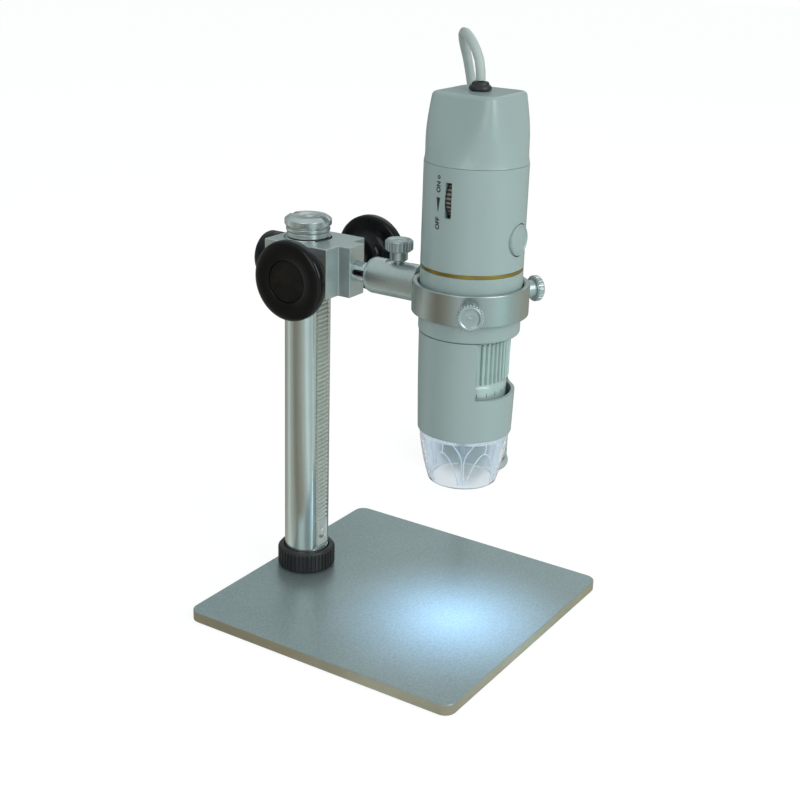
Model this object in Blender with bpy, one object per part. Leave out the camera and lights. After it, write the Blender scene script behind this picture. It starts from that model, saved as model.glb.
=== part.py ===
"""Hand-held digital microscope in a ring clamp on a rack-and-pinion stand.

Metres, +Z up. The origin is in the middle of the base plate's underside. The arm
reaches along +X, and the front of the microscope faces +X too.
"""

import math

import bmesh
import bpy
from mathutils import Matrix, Vector

MM = 0.001

# Clearances
GAP = 0.3 * MM  # between neighbouring pieces
RING_GAP = 0.4 * MM  # between the clamp ring and the microscope
TOOTH_PLAY = 0.05 * MM  # taken off each flank of the rack and the pinion
CUT_MARGIN = 2 * MM  # that a cutter reaches past a face

# Base plate
PLATE_SIDE = 106 * MM
PLATE_THICKNESS = 4 * MM
PLATE_CORNER = 4 * MM
PLATE_EDGE = 0.35 * MM

# Column, with the screw that holds it and the collar round its foot
COLUMN_SETBACK = 41.4 * MM  # from the middle of the plate
COLUMN_RADIUS = 8 * MM
COLUMN_LENGTH = 124.3 * MM
COLUMN_FLAT = 6.3 * MM  # from the column's axis to its milled flat
COLUMN_EDGE = 0.4 * MM
FLAT_RUN_OUT = 1.2 * MM  # of the flat below the rack
BASE_SCREW_RADIUS = 2.5 * MM
BASE_SCREW_HEAD = 4.8 * MM
BASE_SCREW_SINK = 0.5 * MM
BASE_SCREW_RIM = 0.2 * MM
BASE_SCREW_SOCKET = 1.6 * MM
BASE_SCREW_SOCKET_DEPTH = 2.2 * MM
BASE_SCREW_GRIP = 12 * MM
COLLAR_WALL = 2.2 * MM
COLLAR_HEIGHT = 7.8 * MM
COLLAR_RIBS = 28
COLLAR_RIB_DEPTH = 0.5 * MM
COLLAR_CHAMFER = 0.5 * MM

# Cap on the column
CAP_STUD_RADIUS = 2.5 * MM
CAP_STUD_LENGTH = 9 * MM
CAP_NECK_RADIUS = 7.3 * MM
CAP_NECK_HEIGHT = 2.1 * MM
CAP_GROOVE_DEPTH = 0.6 * MM
CAP_BEAD_RADIUS = 7.6 * MM
CAP_DISC_RADIUS = 8.1 * MM
CAP_DISC_HEIGHT = 3.1 * MM
CAP_SLOT_WIDTH = 2.6 * MM
CAP_SLOT_DEPTH = 1.1 * MM

# Rack and pinion
TOOTH_MODULE = 0.5 * MM
PINION_TEETH = 14
PRESSURE_ANGLE = math.radians(20)
RACK_WIDTH = 5.8 * MM
RACK_THICKNESS = 2.4 * MM
RACK_STANDOFF = 0.9 * MM  # tooth tips above the column's flat
RACK_FOOT_GAP = 1.6 * MM  # above the collar
RACK_HEAD_GAP = 1.0 * MM  # below the column's top
RACK_PLAIN_FOOT = 8.8 * MM
RACK_PLAIN_HEAD = 4.4 * MM
RACK_SCREW_RADIUS = 1.2 * MM
RACK_SCREW_HEAD = 2.1 * MM
RACK_SCREW_LENGTH = 4.1 * MM
PINION_WIDTH = 5.4 * MM
SHAFT_RADIUS = 2 * MM

# Carriage on the column
CARRIAGE_HEIGHT = 17.4 * MM
CARRIAGE_TOP_GAP = 0.2 * MM  # below the column's top, at rest
CARRIAGE_BACK_WALL = 1.8 * MM
CARRIAGE_SIDE_WALL = 2.95 * MM
CARRIAGE_FRONT_WALL = 1.2 * MM
CARRIAGE_EDGE = 0.45 * MM
BOSS_LENGTH = 4.7 * MM
BOSS_WALL = 0.5 * MM
BOSS_STEP = 0.6 * MM
BUSH_WALL = 1.7 * MM
BUSH_FLANGE_RADIUS = 5.5 * MM
BUSH_FLANGE = 1.0 * MM

# Knobs of the pinion and of the lock
KNOB_RADIUS = 13.5 * MM
KNOB_LENGTH = 13.2 * MM
KNOB_RIM = 4.2 * MM
KNOB_HUB_RADIUS = 5.0 * MM
KNOB_GRIP = 9 * MM
KNOB_CAP_RADIUS = 6.9 * MM
KNOB_CAP_THICKNESS = 1.1 * MM
LOCK_KNOB_RADIUS = 8.3 * MM
LOCK_KNOB_THICKNESS = 6 * MM
LOCK_KNOB_GAP = 1.5 * MM  # from the block to the knob
LOCK_SCREW_RADIUS = 2 * MM
LOCK_SCREW_GRIP = 3.4 * MM
LOCK_PAD_THICKNESS = 0.7 * MM

# Arm and clamp
ARM_RADIUS = 3.5 * MM
ARM_SEAT = 5.1 * MM  # depth of the hole in the boss
ARM_GAP = 5 * MM  # bare rod between the boss and the socket
ARM_GRIP = 14.5 * MM  # rod inside the socket
ARM_SCREW_RADIUS = 1.5 * MM
ARM_SCREW_LENGTH = 3.6 * MM
SOCKET_RADIUS = 6.1 * MM
SOCKET_LENGTH = 20.4 * MM
SOCKET_BORE_SPARE = 4.6 * MM  # past the rod's end, for the slide
SOCKET_SPIGOT_RADIUS = 4 * MM
SOCKET_SCREW_PLACE = 11.6 * MM  # from the socket's end
SOCKET_SPOTFACE_DEPTH = 0.6 * MM
RING_WALL = 2 * MM
RING_HEIGHT = 10.1 * MM
RING_DROP = 0.65 * MM  # of the ring's middle below the arm's axis
RING_CHAMFER = 0.5 * MM
RING_SCREW_ANGLE = math.radians(60)

# Thumb screws
THUMB_STEM_RADIUS = 1.5 * MM
SOCKET_THUMB_HEAD_RADIUS = 4.7 * MM
SOCKET_THUMB_HEAD_HEIGHT = 3.8 * MM
SOCKET_THUMB_NECK_RADIUS = 3 * MM
SOCKET_THUMB_NECK_HEIGHT = 3.2 * MM
SOCKET_THUMB_LIFT = 1.1 * MM  # of the neck above the spotface
RING_THUMB_HEAD_RADIUS = 4.3 * MM
RING_THUMB_HEAD_HEIGHT = 2.8 * MM
RING_THUMB_NECK_RADIUS = 2.9 * MM
RING_THUMB_NECK_HEIGHT = 4 * MM

# Microscope: housing, band and top cap. Heights are from the seam at the sleeve.
SEAM_DROP = 11.25 * MM  # of that seam below the ring's middle
HOUSING_RADIUS = 16.5 * MM
HOUSING_LENGTH = 54.7 * MM
HOUSING_WALL = 1.8 * MM
HOUSING_SHOULDER = 1.3 * MM
BAND_PLACE = 21.6 * MM
BAND_HEIGHT = 0.9 * MM
BAND_DEPTH = 0.5 * MM
TOP_LENGTH = 21.5 * MM
TOP_HALF_WIDTH = 11.85 * MM  # across the flats of its upper end
TOP_SQUARENESS = 4.0  # added to the round outline's exponent of 2
TOP_WALL = 1.8 * MM
TOP_EDGE = 1.2 * MM
TOP_SPIGOT = 1.8 * MM

# Snapshot button and brightness wheel
BUTTON_PLACE = 32.1 * MM
BUTTON_RADIUS = 5 * MM
BUTTON_FLANGE = 1.2 * MM
BUTTON_FLANGE_THICKNESS = 0.8 * MM
BUTTON_PROUD = 0.4 * MM
BUTTON_TRAVEL = 0.8 * MM
WHEEL_DROP = 9.9 * MM  # of its middle below the housing's upper end
WHEEL_RADIUS = 7.2 * MM
WHEEL_WIDTH = 1.7 * MM
WHEEL_PROUD = 0.3 * MM
WHEEL_RIDGES = 30
WHEEL_RIDGE_DEPTH = 0.35 * MM
WHEEL_AXLE_RADIUS = 1 * MM
WHEEL_SLOT_HEIGHT = 11.1 * MM

# Lower sleeve, its window and the focus drum behind it
SLEEVE_LENGTH = 33.8 * MM
SLEEVE_TOP_RADIUS = 16.2 * MM
SLEEVE_FOOT_RADIUS = 15.5 * MM
SLEEVE_BULGE = 0.12 * MM
SLEEVE_WALL = 1.2 * MM
SLEEVE_SPIGOT_WALL = 1.4 * MM
SLEEVE_SPIGOT_HEIGHT = 3.2 * MM
SLEEVE_FLANGE = 0.6 * MM
WINDOW_DEPTH = 19.5 * MM
WINDOW_HALF_WIDTH = 12.2 * MM
WINDOW_CORNER = 2.5 * MM
DRUM_RADIUS = 13.8 * MM
DRUM_LENGTH = 22.4 * MM
DRUM_RIBS = 46
DRUM_RIB_DEPTH = 0.7 * MM
DRUM_PLAIN_BAND = 9.2 * MM
DRUM_BORE = 9 * MM

# Lens barrel, lens and guide pins
BARREL_LENGTH = 20 * MM
BARREL_PLACE = 29.8 * MM  # of its lower end below the seam
BARREL_BORE = 5 * MM
BARREL_LIP = 1 * MM
LENS_THICKNESS = 2.4 * MM
LENS_DOME = 0.7 * MM
GUIDE_PIN_RADIUS = 0.7 * MM
GUIDE_PIN_PITCH = 6.9 * MM
GUIDE_PIN_LENGTH = 23 * MM

# Nose cap and the boards inside
NOSE_LENGTH = 18 * MM
NOSE_TOP_RADIUS = 14.5 * MM
NOSE_FOOT_RADIUS = 11.3 * MM
NOSE_BULGE = 0.55 * MM
NOSE_WALL = 1.1 * MM
NOSE_SPIGOT_HEIGHT = 5 * MM
BOARD_THICKNESS = 1.2 * MM
LED_COUNT = 8
LED_RADIUS = 1.1 * MM
LED_LENGTH = 1.6 * MM
LED_RING_RADIUS = 11 * MM
SENSOR_SIDE = 8 * MM
SENSOR_HEIGHT = 1.6 * MM
MAIN_BOARD_EDGE_GAP = 0.5 * MM  # from its corners to the housing's bore
MAIN_BOARD_HEAD_GAP = 3.9 * MM  # from its upper edge to the top cap's spigot
SWITCH_SIDE = 6 * MM
POT_SIDE = 4.8 * MM
POT_EDGE_GAP = 0.4 * MM  # from its corners to the housing's bore
POT_BACK_WALL = 2.7 * MM  # behind the end of the wheel's axle

# Cable, gland, coil, tie and plug
GLAND_RADIUS = 3.55 * MM
GLAND_HEIGHT = 2.5 * MM
GLAND_NECK_RADIUS = 2.4 * MM
GLAND_FLANGE = 1.2 * MM
CABLE_DIAMETER = 3 * MM
CABLE_SPACING = 6 * MM
COIL_PLACE = (-48 * MM, 130 * MM)
COIL_MEAN_RADIUS = 15 * MM
COIL_TURNS_ACROSS = 2
COIL_TURNS_HIGH = 6
COIL_LIFT = 0.8 * MM
TIE_THICKNESS = 0.5 * MM
TIE_WIDTH = 3.5 * MM
TIE_GAP = 0.15 * MM
TIE_BOW = 0.35 * MM  # the coil's curve across the tie
PLUG_HEADING = math.radians(119)
PLUG_SIZE = (19 * MM, 11.5 * MM, 7.6 * MM)
PLUG_RELIEF_LENGTH = 10 * MM
PLUG_RELIEF_RADIUS = 2.2 * MM
PLUG_SHELL_SIZE = (12 * MM, 12 * MM, 4.5 * MM)
PLUG_SHELL_WALL = 0.4 * MM
PLUG_TONGUE_THICKNESS = 1.6 * MM

# Facets round each kind of piece
FINE = 36
MEDIUM = 26
COARSE = 16
SMALL = 12

# Places worked out from the sizes above
COLUMN_X = -COLUMN_SETBACK
COLUMN_FOOT = PLATE_THICKNESS + GAP
COLUMN_TOP = COLUMN_FOOT + COLUMN_LENGTH
COLUMN_BORE = COLUMN_RADIUS + GAP
COLLAR_TOP = COLUMN_FOOT + COLLAR_HEIGHT
RACK_FOOT = COLLAR_TOP + RACK_FOOT_GAP
RACK_HEAD = COLUMN_TOP - RACK_HEAD_GAP
RACK_TIP = COLUMN_FLAT + RACK_STANDOFF
RACK_BACK = RACK_TIP - RACK_THICKNESS
RACK_ADDENDUM = 0.75 * TOOTH_MODULE
ROOT_UNDERCUT = 0.8
PINION_ADDENDUM = 0.9 * TOOTH_MODULE
DEDENDUM = 1.25 * TOOTH_MODULE
TOOTH_PITCH = math.pi * TOOTH_MODULE
PITCH_RADIUS = PINION_TEETH * TOOTH_MODULE / 2
PITCH_LINE = RACK_TIP - RACK_ADDENDUM
PINION_X = COLUMN_X + PITCH_LINE + PITCH_RADIUS
BUSH_BORE = SHAFT_RADIUS + GAP
BUSH_RADIUS = BUSH_BORE + BUSH_WALL
CROSS_BORE = BUSH_RADIUS + GAP
CARRIAGE_TOP = COLUMN_TOP - CARRIAGE_TOP_GAP
CARRIAGE_FOOT = CARRIAGE_TOP - CARRIAGE_HEIGHT
CARRIAGE_BACK = COLUMN_X - COLUMN_BORE - CARRIAGE_BACK_WALL
CARRIAGE_FRONT = PINION_X + CROSS_BORE + CARRIAGE_FRONT_WALL
CARRIAGE_HALF_WIDTH = COLUMN_BORE + CARRIAGE_SIDE_WALL
ARM_BORE = ARM_RADIUS + GAP
BOSS_HALF_WIDTH = ARM_BORE + BOSS_WALL
BOSS_FRONT = CARRIAGE_FRONT + BOSS_LENGTH
ARM_Z = CARRIAGE_FOOT + CARRIAGE_HEIGHT / 2
BUSH_OUTER = CARRIAGE_HALF_WIDTH + GAP + BUSH_FLANGE
KNOB_FOOT = BUSH_OUTER + GAP
ARM_START = BOSS_FRONT - ARM_SEAT + GAP
SOCKET_X = BOSS_FRONT + ARM_GAP
ARM_END = SOCKET_X + ARM_GRIP
RING_INNER = HOUSING_RADIUS + RING_GAP
RING_OUTER = RING_INNER + RING_WALL
SCOPE_X = SOCKET_X + SOCKET_LENGTH + RING_OUTER
RING_Z = ARM_Z - RING_DROP
SEAM_Z = RING_Z - SEAM_DROP
HOUSING_INNER = HOUSING_RADIUS - HOUSING_WALL
SPIGOT_RADIUS = HOUSING_INNER - GAP
TOP_FOOT = HOUSING_LENGTH + GAP
TOP_HEAD = HOUSING_LENGTH + TOP_LENGTH
TOP_SPIGOT_FOOT = TOP_FOOT - GAP - TOP_SPIGOT
WHEEL_PLACE = HOUSING_LENGTH - WHEEL_DROP
SLEEVE_FOOT = -SLEEVE_LENGTH
SENSOR_BOARD_FOOT = SLEEVE_SPIGOT_HEIGHT + GAP
MAIN_BOARD_FOOT = SENSOR_BOARD_FOOT + BOARD_THICKNESS + GAP
MAIN_BOARD_TOP = TOP_SPIGOT_FOOT - MAIN_BOARD_HEAD_GAP
NOSE_TOP = SLEEVE_FOOT - GAP
LED_BOARD_FOOT = SLEEVE_FOOT + NOSE_SPIGOT_HEIGHT + GAP
BARREL_RADIUS = DRUM_BORE - GAP
WHEEL_AXIS = HOUSING_RADIUS + WHEEL_PROUD - WHEEL_RADIUS
POT_BACK = math.sqrt((HOUSING_INNER - POT_EDGE_GAP) ** 2 - (WHEEL_AXIS + POT_SIDE / 2) ** 2)
MAIN_BOARD_PLACE = POT_BACK + GAP
MAIN_BOARD_FRONT = MAIN_BOARD_PLACE + BOARD_THICKNESS
MAIN_BOARD_REACH = HOUSING_INNER - MAIN_BOARD_EDGE_GAP
MAIN_BOARD_HALF_WIDTH = math.sqrt(MAIN_BOARD_REACH**2 - MAIN_BOARD_FRONT**2)
COIL_HALF_WIDTH = COIL_TURNS_ACROSS * CABLE_DIAMETER / 2
COIL_HEIGHT = COIL_TURNS_HIGH * CABLE_DIAMETER
COIL_TOP = COIL_LIFT + COIL_HEIGHT
GLAND_TOP = SEAM_Z + TOP_HEAD + GAP + GLAND_HEIGHT

# The cable's own way from the gland to the coil, chosen by hand, in metres
CABLE_ROUTE = (
    (SCOPE_X, 0.0000, GLAND_TOP + GAP),
    (0.0228, 0.0001, 0.1924),
    (0.0199, 0.0013, 0.1970),
    (0.0158, 0.0040, 0.1998),
    (0.0119, 0.0081, 0.1997),
    (0.0094, 0.0130, 0.1962),
    (0.0083, 0.0179, 0.1902),
    (0.0080, 0.0217, 0.1815),
    (0.0078, 0.0240, 0.1731),
    (0.0076, 0.0262, 0.1600),
    (0.0058, 0.0300, 0.1300),
    (0.0022, 0.0368, 0.0980),
    (-0.0036, 0.0474, 0.0690),
    (-0.0110, 0.0605, 0.0440),
    (-0.0190, 0.0755, 0.0250),
    (-0.0250, 0.0895, 0.0120),
    (-0.0290, 0.1040, 0.0052),
    (-0.0307, 0.1209, 0.0024),
)

FINISHES = {
    "satin_plate": ((0.34, 0.37, 0.38), 0.36, 1.0),
    "column_steel": ((0.56, 0.60, 0.59), 0.22, 1.0),
    "aluminium": ((0.55, 0.60, 0.60), 0.34, 1.0),
    "chrome": ((0.72, 0.76, 0.76), 0.12, 1.0),
    "screw_steel": ((0.50, 0.52, 0.52), 0.28, 1.0),
    "brass": ((0.62, 0.45, 0.16), 0.30, 1.0),
    "black_gloss": ((0.010, 0.010, 0.011), 0.16, 0.0),
    "black_satin": ((0.016, 0.016, 0.017), 0.45, 0.0),
    "housing_paint": ((0.26, 0.34, 0.32), 0.32, 0.0),
    "gold_line": ((0.36, 0.25, 0.06), 0.30, 1.0),
    "drum_grey": ((0.30, 0.32, 0.31), 0.42, 0.0),
    "clear_plastic": ((0.72, 0.80, 0.88), 0.08, 0.0),
    "lens_glass": ((0.70, 0.78, 0.86), 0.03, 0.0),
    "board_green": ((0.02, 0.12, 0.06), 0.50, 0.0),
    "cable_grey": ((0.34, 0.38, 0.36), 0.50, 0.0),
    "tongue_white": ((0.75, 0.75, 0.73), 0.45, 0.0),
}

# Each moving body's joint frame, which is an empty at a point on the joint's axis
BODY_ORIGINS = {
    "root": (0, 0, 0),
    "collar": (COLUMN_X, 0, COLUMN_FOOT),
    "carriage": (COLUMN_X, 0, CARRIAGE_FOOT),
    "pinion": (PINION_X, 0, ARM_Z),
    "lock": (CARRIAGE_BACK, 0, ARM_Z),
    "arm": (BOSS_FRONT, 0, ARM_Z),
    "clamp": (SOCKET_X, 0, ARM_Z),
    "socket_screw": (SOCKET_X + SOCKET_SCREW_PLACE, 0, ARM_Z),
    "ring_screw_front": (SCOPE_X, 0, RING_Z),
    "ring_screw_rear": (SCOPE_X, 0, RING_Z),
    "scope": (SCOPE_X, 0, SEAM_Z),
    "focus": (SCOPE_X, 0, SEAM_Z),
    "lens": (SCOPE_X, 0, SEAM_Z),
    "wheel": (SCOPE_X, -WHEEL_AXIS, SEAM_Z + WHEEL_PLACE),
    "button": (SCOPE_X, 0, SEAM_Z + BUTTON_PLACE),
}

PARENTS = {
    "collar": "root",
    "carriage": "root",
    "pinion": "carriage",
    "lock": "carriage",
    "arm": "carriage",
    "clamp": "arm",
    "socket_screw": "clamp",
    "ring_screw_front": "clamp",
    "ring_screw_rear": "clamp",
    "scope": "clamp",
    "focus": "scope",
    "lens": "scope",
    "wheel": "scope",
    "button": "scope",
}

ALONG_X = (0, math.pi / 2, 0)
ALONG_MINUS_X = (0, -math.pi / 2, 0)


def clear_scene():
    """Remove whatever the scene starts with."""
    for obj in list(bpy.data.objects):
        bpy.data.objects.remove(obj)


def make_material(name):
    """A plain material with the finish's colour, roughness and metallic value."""
    colour, roughness, metallic = FINISHES[name]
    material = bpy.data.materials.new(name)
    material.use_nodes = True
    shader = material.node_tree.nodes["Principled BSDF"]
    shader.inputs["Base Color"].default_value = (*colour, 1)
    shader.inputs["Roughness"].default_value = roughness
    shader.inputs["Metallic"].default_value = metallic
    if name in ("clear_plastic", "lens_glass"):
        shader.inputs["Transmission Weight"].default_value = 0.9
    return material


def make_frames():
    """One empty for each body, parented as the joints are."""
    frames = {}
    for body, place in BODY_ORIGINS.items():
        frame = bpy.data.objects.new(body + "_frame", None)
        frame.empty_display_size = 0.01
        bpy.context.collection.objects.link(frame)
        frame.location = place
        if body in PARENTS:
            parent = PARENTS[body]
            frame.parent = frames[parent]
            frame.location = Vector(place) - Vector(BODY_ORIGINS[parent])
        frames[body] = frame
    return frames


def to_mesh(shape, name):
    """Turn a bmesh into a smooth mesh that keeps its crisp edges."""
    mesh = bpy.data.meshes.new(name)
    shape.to_mesh(mesh)
    shape.free()
    mesh.shade_smooth()
    mesh.set_sharp_from_angle(angle=math.radians(32))
    return mesh


def add(name, shape, finish, body, at=None, turn=(0, 0, 0)):
    """Put a piece on its body, at a world place that defaults to the body's own."""
    place = Vector(BODY_ORIGINS[body] if at is None else at)
    obj = bpy.data.objects.new(name, to_mesh(shape, name))
    obj.data.materials.append(MATERIALS[finish])
    bpy.context.collection.objects.link(obj)
    obj.parent = FRAMES[body]
    obj.location = place - Vector(BODY_ORIGINS[body])
    obj.rotation_euler = turn
    return obj


def carve(target, shape, operation="DIFFERENCE"):
    """Cut a shape from a piece, or join it on, in the piece's own frame."""
    name = target.name + "_tool"
    tool = bpy.data.objects.new(name, to_mesh(shape, name))
    bpy.context.collection.objects.link(tool)
    tool.parent = target
    tool.hide_render = True
    tool.display_type = "WIRE"
    modifier = target.modifiers.new(operation.lower(), "BOOLEAN")
    modifier.operation = operation
    modifier.solver = "EXACT"
    modifier.object = tool


def bevel(target, width, segments=1):
    """Break a piece's sharp edges."""
    modifier = target.modifiers.new("bevel", "BEVEL")
    modifier.width = width
    modifier.segments = segments
    modifier.limit_method = "ANGLE"
    modifier.angle_limit = math.radians(40)


def turned(profile, steps, closed=False):
    """Spin a profile of (radius, height) points about Z.

    An open profile starts and ends on the axis, and a closed one makes a ring.
    """
    shape = bmesh.new()
    points = [shape.verts.new((radius, 0, height)) for radius, height in profile]
    pairs = list(zip(points, points[1:]))
    if closed:
        pairs.append((points[-1], points[0]))
    edges = [shape.edges.new(pair) for pair in pairs]
    bmesh.ops.spin(
        shape,
        geom=points + edges,
        cent=(0, 0, 0),
        axis=(0, 0, 1),
        angle=2 * math.pi,
        steps=steps,
    )
    bmesh.ops.remove_doubles(shape, verts=shape.verts, dist=0.002 * MM)
    bmesh.ops.recalc_face_normals(shape, faces=shape.faces)
    return shape


def skin_into(shape, sections, closed=False):
    """Bridge equal rings of points, and cap the ends unless the rings close up."""
    rings = [[shape.verts.new(point) for point in section] for section in sections]
    count = len(rings[0])
    following = rings[1:] + rings[:1] if closed else rings[1:]
    for lower, upper in zip(rings, following):
        for i in range(count):
            j = (i + 1) % count
            shape.faces.new((lower[i], lower[j], upper[j], upper[i]))
    if not closed:
        shape.faces.new(reversed(rings[0]))
        shape.faces.new(rings[-1])
    bmesh.ops.recalc_face_normals(shape, faces=shape.faces)


def skinned(sections, closed=False):
    """A solid through equal rings of points."""
    shape = bmesh.new()
    skin_into(shape, sections, closed)
    return shape


def prism(outline, foot, top):
    """Extrude an outline of (x, y) points upward."""
    return skinned([[(x, y, z) for x, y in outline] for z in (foot, top)])


def box(low, high):
    """A block between two corners."""
    size = [b - a for a, b in zip(low, high)]
    middle = [(a + b) / 2 for a, b in zip(low, high)]
    shape = bmesh.new()
    matrix = Matrix.Translation(middle) @ Matrix.Diagonal((*size, 1))
    bmesh.ops.create_cube(shape, size=1, matrix=matrix)
    return shape


def rod(radius, foot, top, steps=SMALL, chamfer=0.0):
    """A round bar along Z, with its ends chamfered if asked."""
    if not chamfer:
        return turned([(0, foot), (radius, foot), (radius, top), (0, top)], steps)
    inner = radius - chamfer
    profile = [(0, foot), (inner, foot), (radius, foot + chamfer)]
    profile += [(radius, top - chamfer), (inner, top), (0, top)]
    return turned(profile, steps)


def laid(shape, turn):
    """Turn a shape that was made along Z, as an object's rotation would."""
    matrix = Matrix.Rotation(turn[2], 3, "Z") @ Matrix.Rotation(turn[1], 3, "Y")
    matrix = matrix @ Matrix.Rotation(turn[0], 3, "X")
    bmesh.ops.rotate(shape, verts=shape.verts, cent=(0, 0, 0), matrix=matrix)
    return shape


def moved(shape, offset):
    """Shift a shape."""
    bmesh.ops.translate(shape, verts=shape.verts, vec=offset)
    return shape


def ribbed_ring(count, tip, root, land=0.5, flank=0.1):
    """The outline of a ring of ribs, with four points to each."""
    step = 2 * math.pi / count
    corners = (
        (-land / 2 - flank, root),
        (-land / 2, tip),
        (land / 2, tip),
        (land / 2 + flank, root),
    )
    return [
        (radius * math.cos((k + share) * step), radius * math.sin((k + share) * step))
        for k in range(count)
        for share, radius in corners
    ]


def rounded_rectangle(width, depth, radius, steps=4):
    """An outline about the origin with round corners."""
    outline = []
    for quarter, (sx, sy) in enumerate(((1, 1), (-1, 1), (-1, -1), (1, -1))):
        cx = sx * (width / 2 - radius)
        cy = sy * (depth / 2 - radius)
        for k in range(steps + 1):
            angle = (quarter + k / steps) * math.pi / 2
            outline.append((cx + radius * math.cos(angle), cy + radius * math.sin(angle)))
    return outline


# Stand


def make_base_plate():
    """The flat plate, with the countersunk hole under the column."""
    outline = rounded_rectangle(PLATE_SIDE, PLATE_SIDE, PLATE_CORNER, steps=5)
    plate = add("base_plate", prism(outline, 0, PLATE_THICKNESS), "satin_plate", "root")
    bevel(plate, PLATE_EDGE, segments=2)
    hole = BASE_SCREW_RADIUS + GAP
    head = BASE_SCREW_HEAD + GAP
    profile = [(0, -1 * MM), (head, -1 * MM), (head, BASE_SCREW_SINK + GAP)]
    profile += [(hole, BASE_SCREW_SINK + GAP + head - hole)]
    profile += [(hole, PLATE_THICKNESS + CUT_MARGIN), (0, PLATE_THICKNESS + CUT_MARGIN)]
    carve(plate, moved(turned(profile, COARSE), (COLUMN_X, 0, 0)))


def make_base_screw():
    """The countersunk screw that draws the column down onto the plate."""
    sink = BASE_SCREW_SINK
    cone = BASE_SCREW_HEAD - BASE_SCREW_RADIUS
    tip = COLUMN_FOOT + BASE_SCREW_GRIP
    rim = sink + BASE_SCREW_RIM
    profile = [(0, sink), (BASE_SCREW_HEAD, sink), (BASE_SCREW_HEAD, rim)]
    profile += [(BASE_SCREW_RADIUS, rim + cone), (BASE_SCREW_RADIUS, tip), (0, tip)]
    screw = add("base_screw", turned(profile, COARSE), "screw_steel", "root", (COLUMN_X, 0, 0))
    side, depth = BASE_SCREW_SOCKET, BASE_SCREW_SOCKET_DEPTH
    carve(screw, turned([(0, 0), (side, 0), (side, depth), (0, depth)], 6))


def make_column_collar():
    """The black ribbed collar round the column's foot."""
    inner = COLUMN_RADIUS + GAP
    outer = inner + COLLAR_WALL
    full = ribbed_ring(COLLAR_RIBS, outer, outer - COLLAR_RIB_DEPTH)
    eased = ribbed_ring(COLLAR_RIBS, outer - COLLAR_CHAMFER, outer - COLLAR_CHAMFER)
    sections = [[(x, y, z) for x, y in full] for z in (0, COLLAR_HEIGHT - COLLAR_CHAMFER)]
    sections.append([(x, y, COLLAR_HEIGHT) for x, y in eased])
    collar = add("column_collar", skinned(sections), "black_satin", "collar")
    carve(collar, rod(inner, -CUT_MARGIN, COLLAR_HEIGHT + CUT_MARGIN, MEDIUM))


def make_column():
    """The round column with its milled flat, the rack's slot and its tapped ends."""
    bar = rod(COLUMN_RADIUS, COLUMN_FOOT, COLUMN_TOP, FINE, COLUMN_EDGE)
    column = add("column", bar, "column_steel", "root", (COLUMN_X, 0, 0))
    past = COLUMN_RADIUS + CUT_MARGIN
    flat_foot = RACK_FOOT - FLAT_RUN_OUT
    carve(column, box((COLUMN_FLAT, -past, flat_foot), (past, past, COLUMN_TOP + CUT_MARGIN)))
    half = RACK_WIDTH / 2 + GAP
    slot_low = (RACK_BACK - GAP, -half, RACK_FOOT - GAP)
    carve(column, box(slot_low, (past, half, COLUMN_TOP + 2 * CUT_MARGIN)))
    tap = BASE_SCREW_RADIUS + GAP
    carve(column, rod(tap, COLUMN_FOOT - CUT_MARGIN, COLUMN_FOOT + BASE_SCREW_GRIP + GAP))
    tap = CAP_STUD_RADIUS + GAP
    carve(column, rod(tap, COLUMN_TOP - CAP_STUD_LENGTH - GAP, COLUMN_TOP + CUT_MARGIN))
    for height in rack_screw_heights():
        hole = rod(RACK_SCREW_RADIUS + GAP, -RACK_SCREW_LENGTH - GAP, CUT_MARGIN, SMALL)
        carve(column, moved(laid(hole, ALONG_X), (RACK_TIP, 0, height)))


def rack_screw_heights():
    """The screws sit in the rack's plain ends."""
    foot = RACK_FOOT + RACK_PLAIN_FOOT / 2
    head = RACK_HEAD - RACK_PLAIN_HEAD / 2
    return foot, head


def countersunk_profile(radius, head, length):
    """A screw along Z with its flat head at the top, at height 0."""
    cone = head - radius
    return [(0, -length), (radius, -length), (radius, -cone), (head, 0), (0, 0)]


def make_rack():
    """The rack: a flat bar with straight teeth that mesh with the pinion."""
    half = RACK_WIDTH / 2
    bar = box((RACK_BACK, -half, RACK_FOOT), (RACK_TIP, half, RACK_HEAD))
    rack = add("rack", bar, "column_steel", "root", (COLUMN_X, 0, 0))
    carve(rack, rack_grooves())
    for place, height in zip(("lower", "upper"), rack_screw_heights()):
        radius = RACK_SCREW_RADIUS + GAP
        head = RACK_SCREW_HEAD + GAP
        profile = countersunk_profile(radius, head, RACK_THICKNESS + 2 * MM)
        hole = turned(profile[:-1] + [(head, 1 * MM), (0, 1 * MM)], SMALL)
        carve(rack, moved(laid(hole, ALONG_X), (RACK_TIP, 0, height)))
        profile = countersunk_profile(RACK_SCREW_RADIUS, RACK_SCREW_HEAD, RACK_SCREW_LENGTH)
        at = (COLUMN_X + RACK_TIP - 0.1 * MM, 0, height)
        add("rack_screw_" + place, turned(profile, SMALL), "screw_steel", "root", at, ALONG_X)


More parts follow.
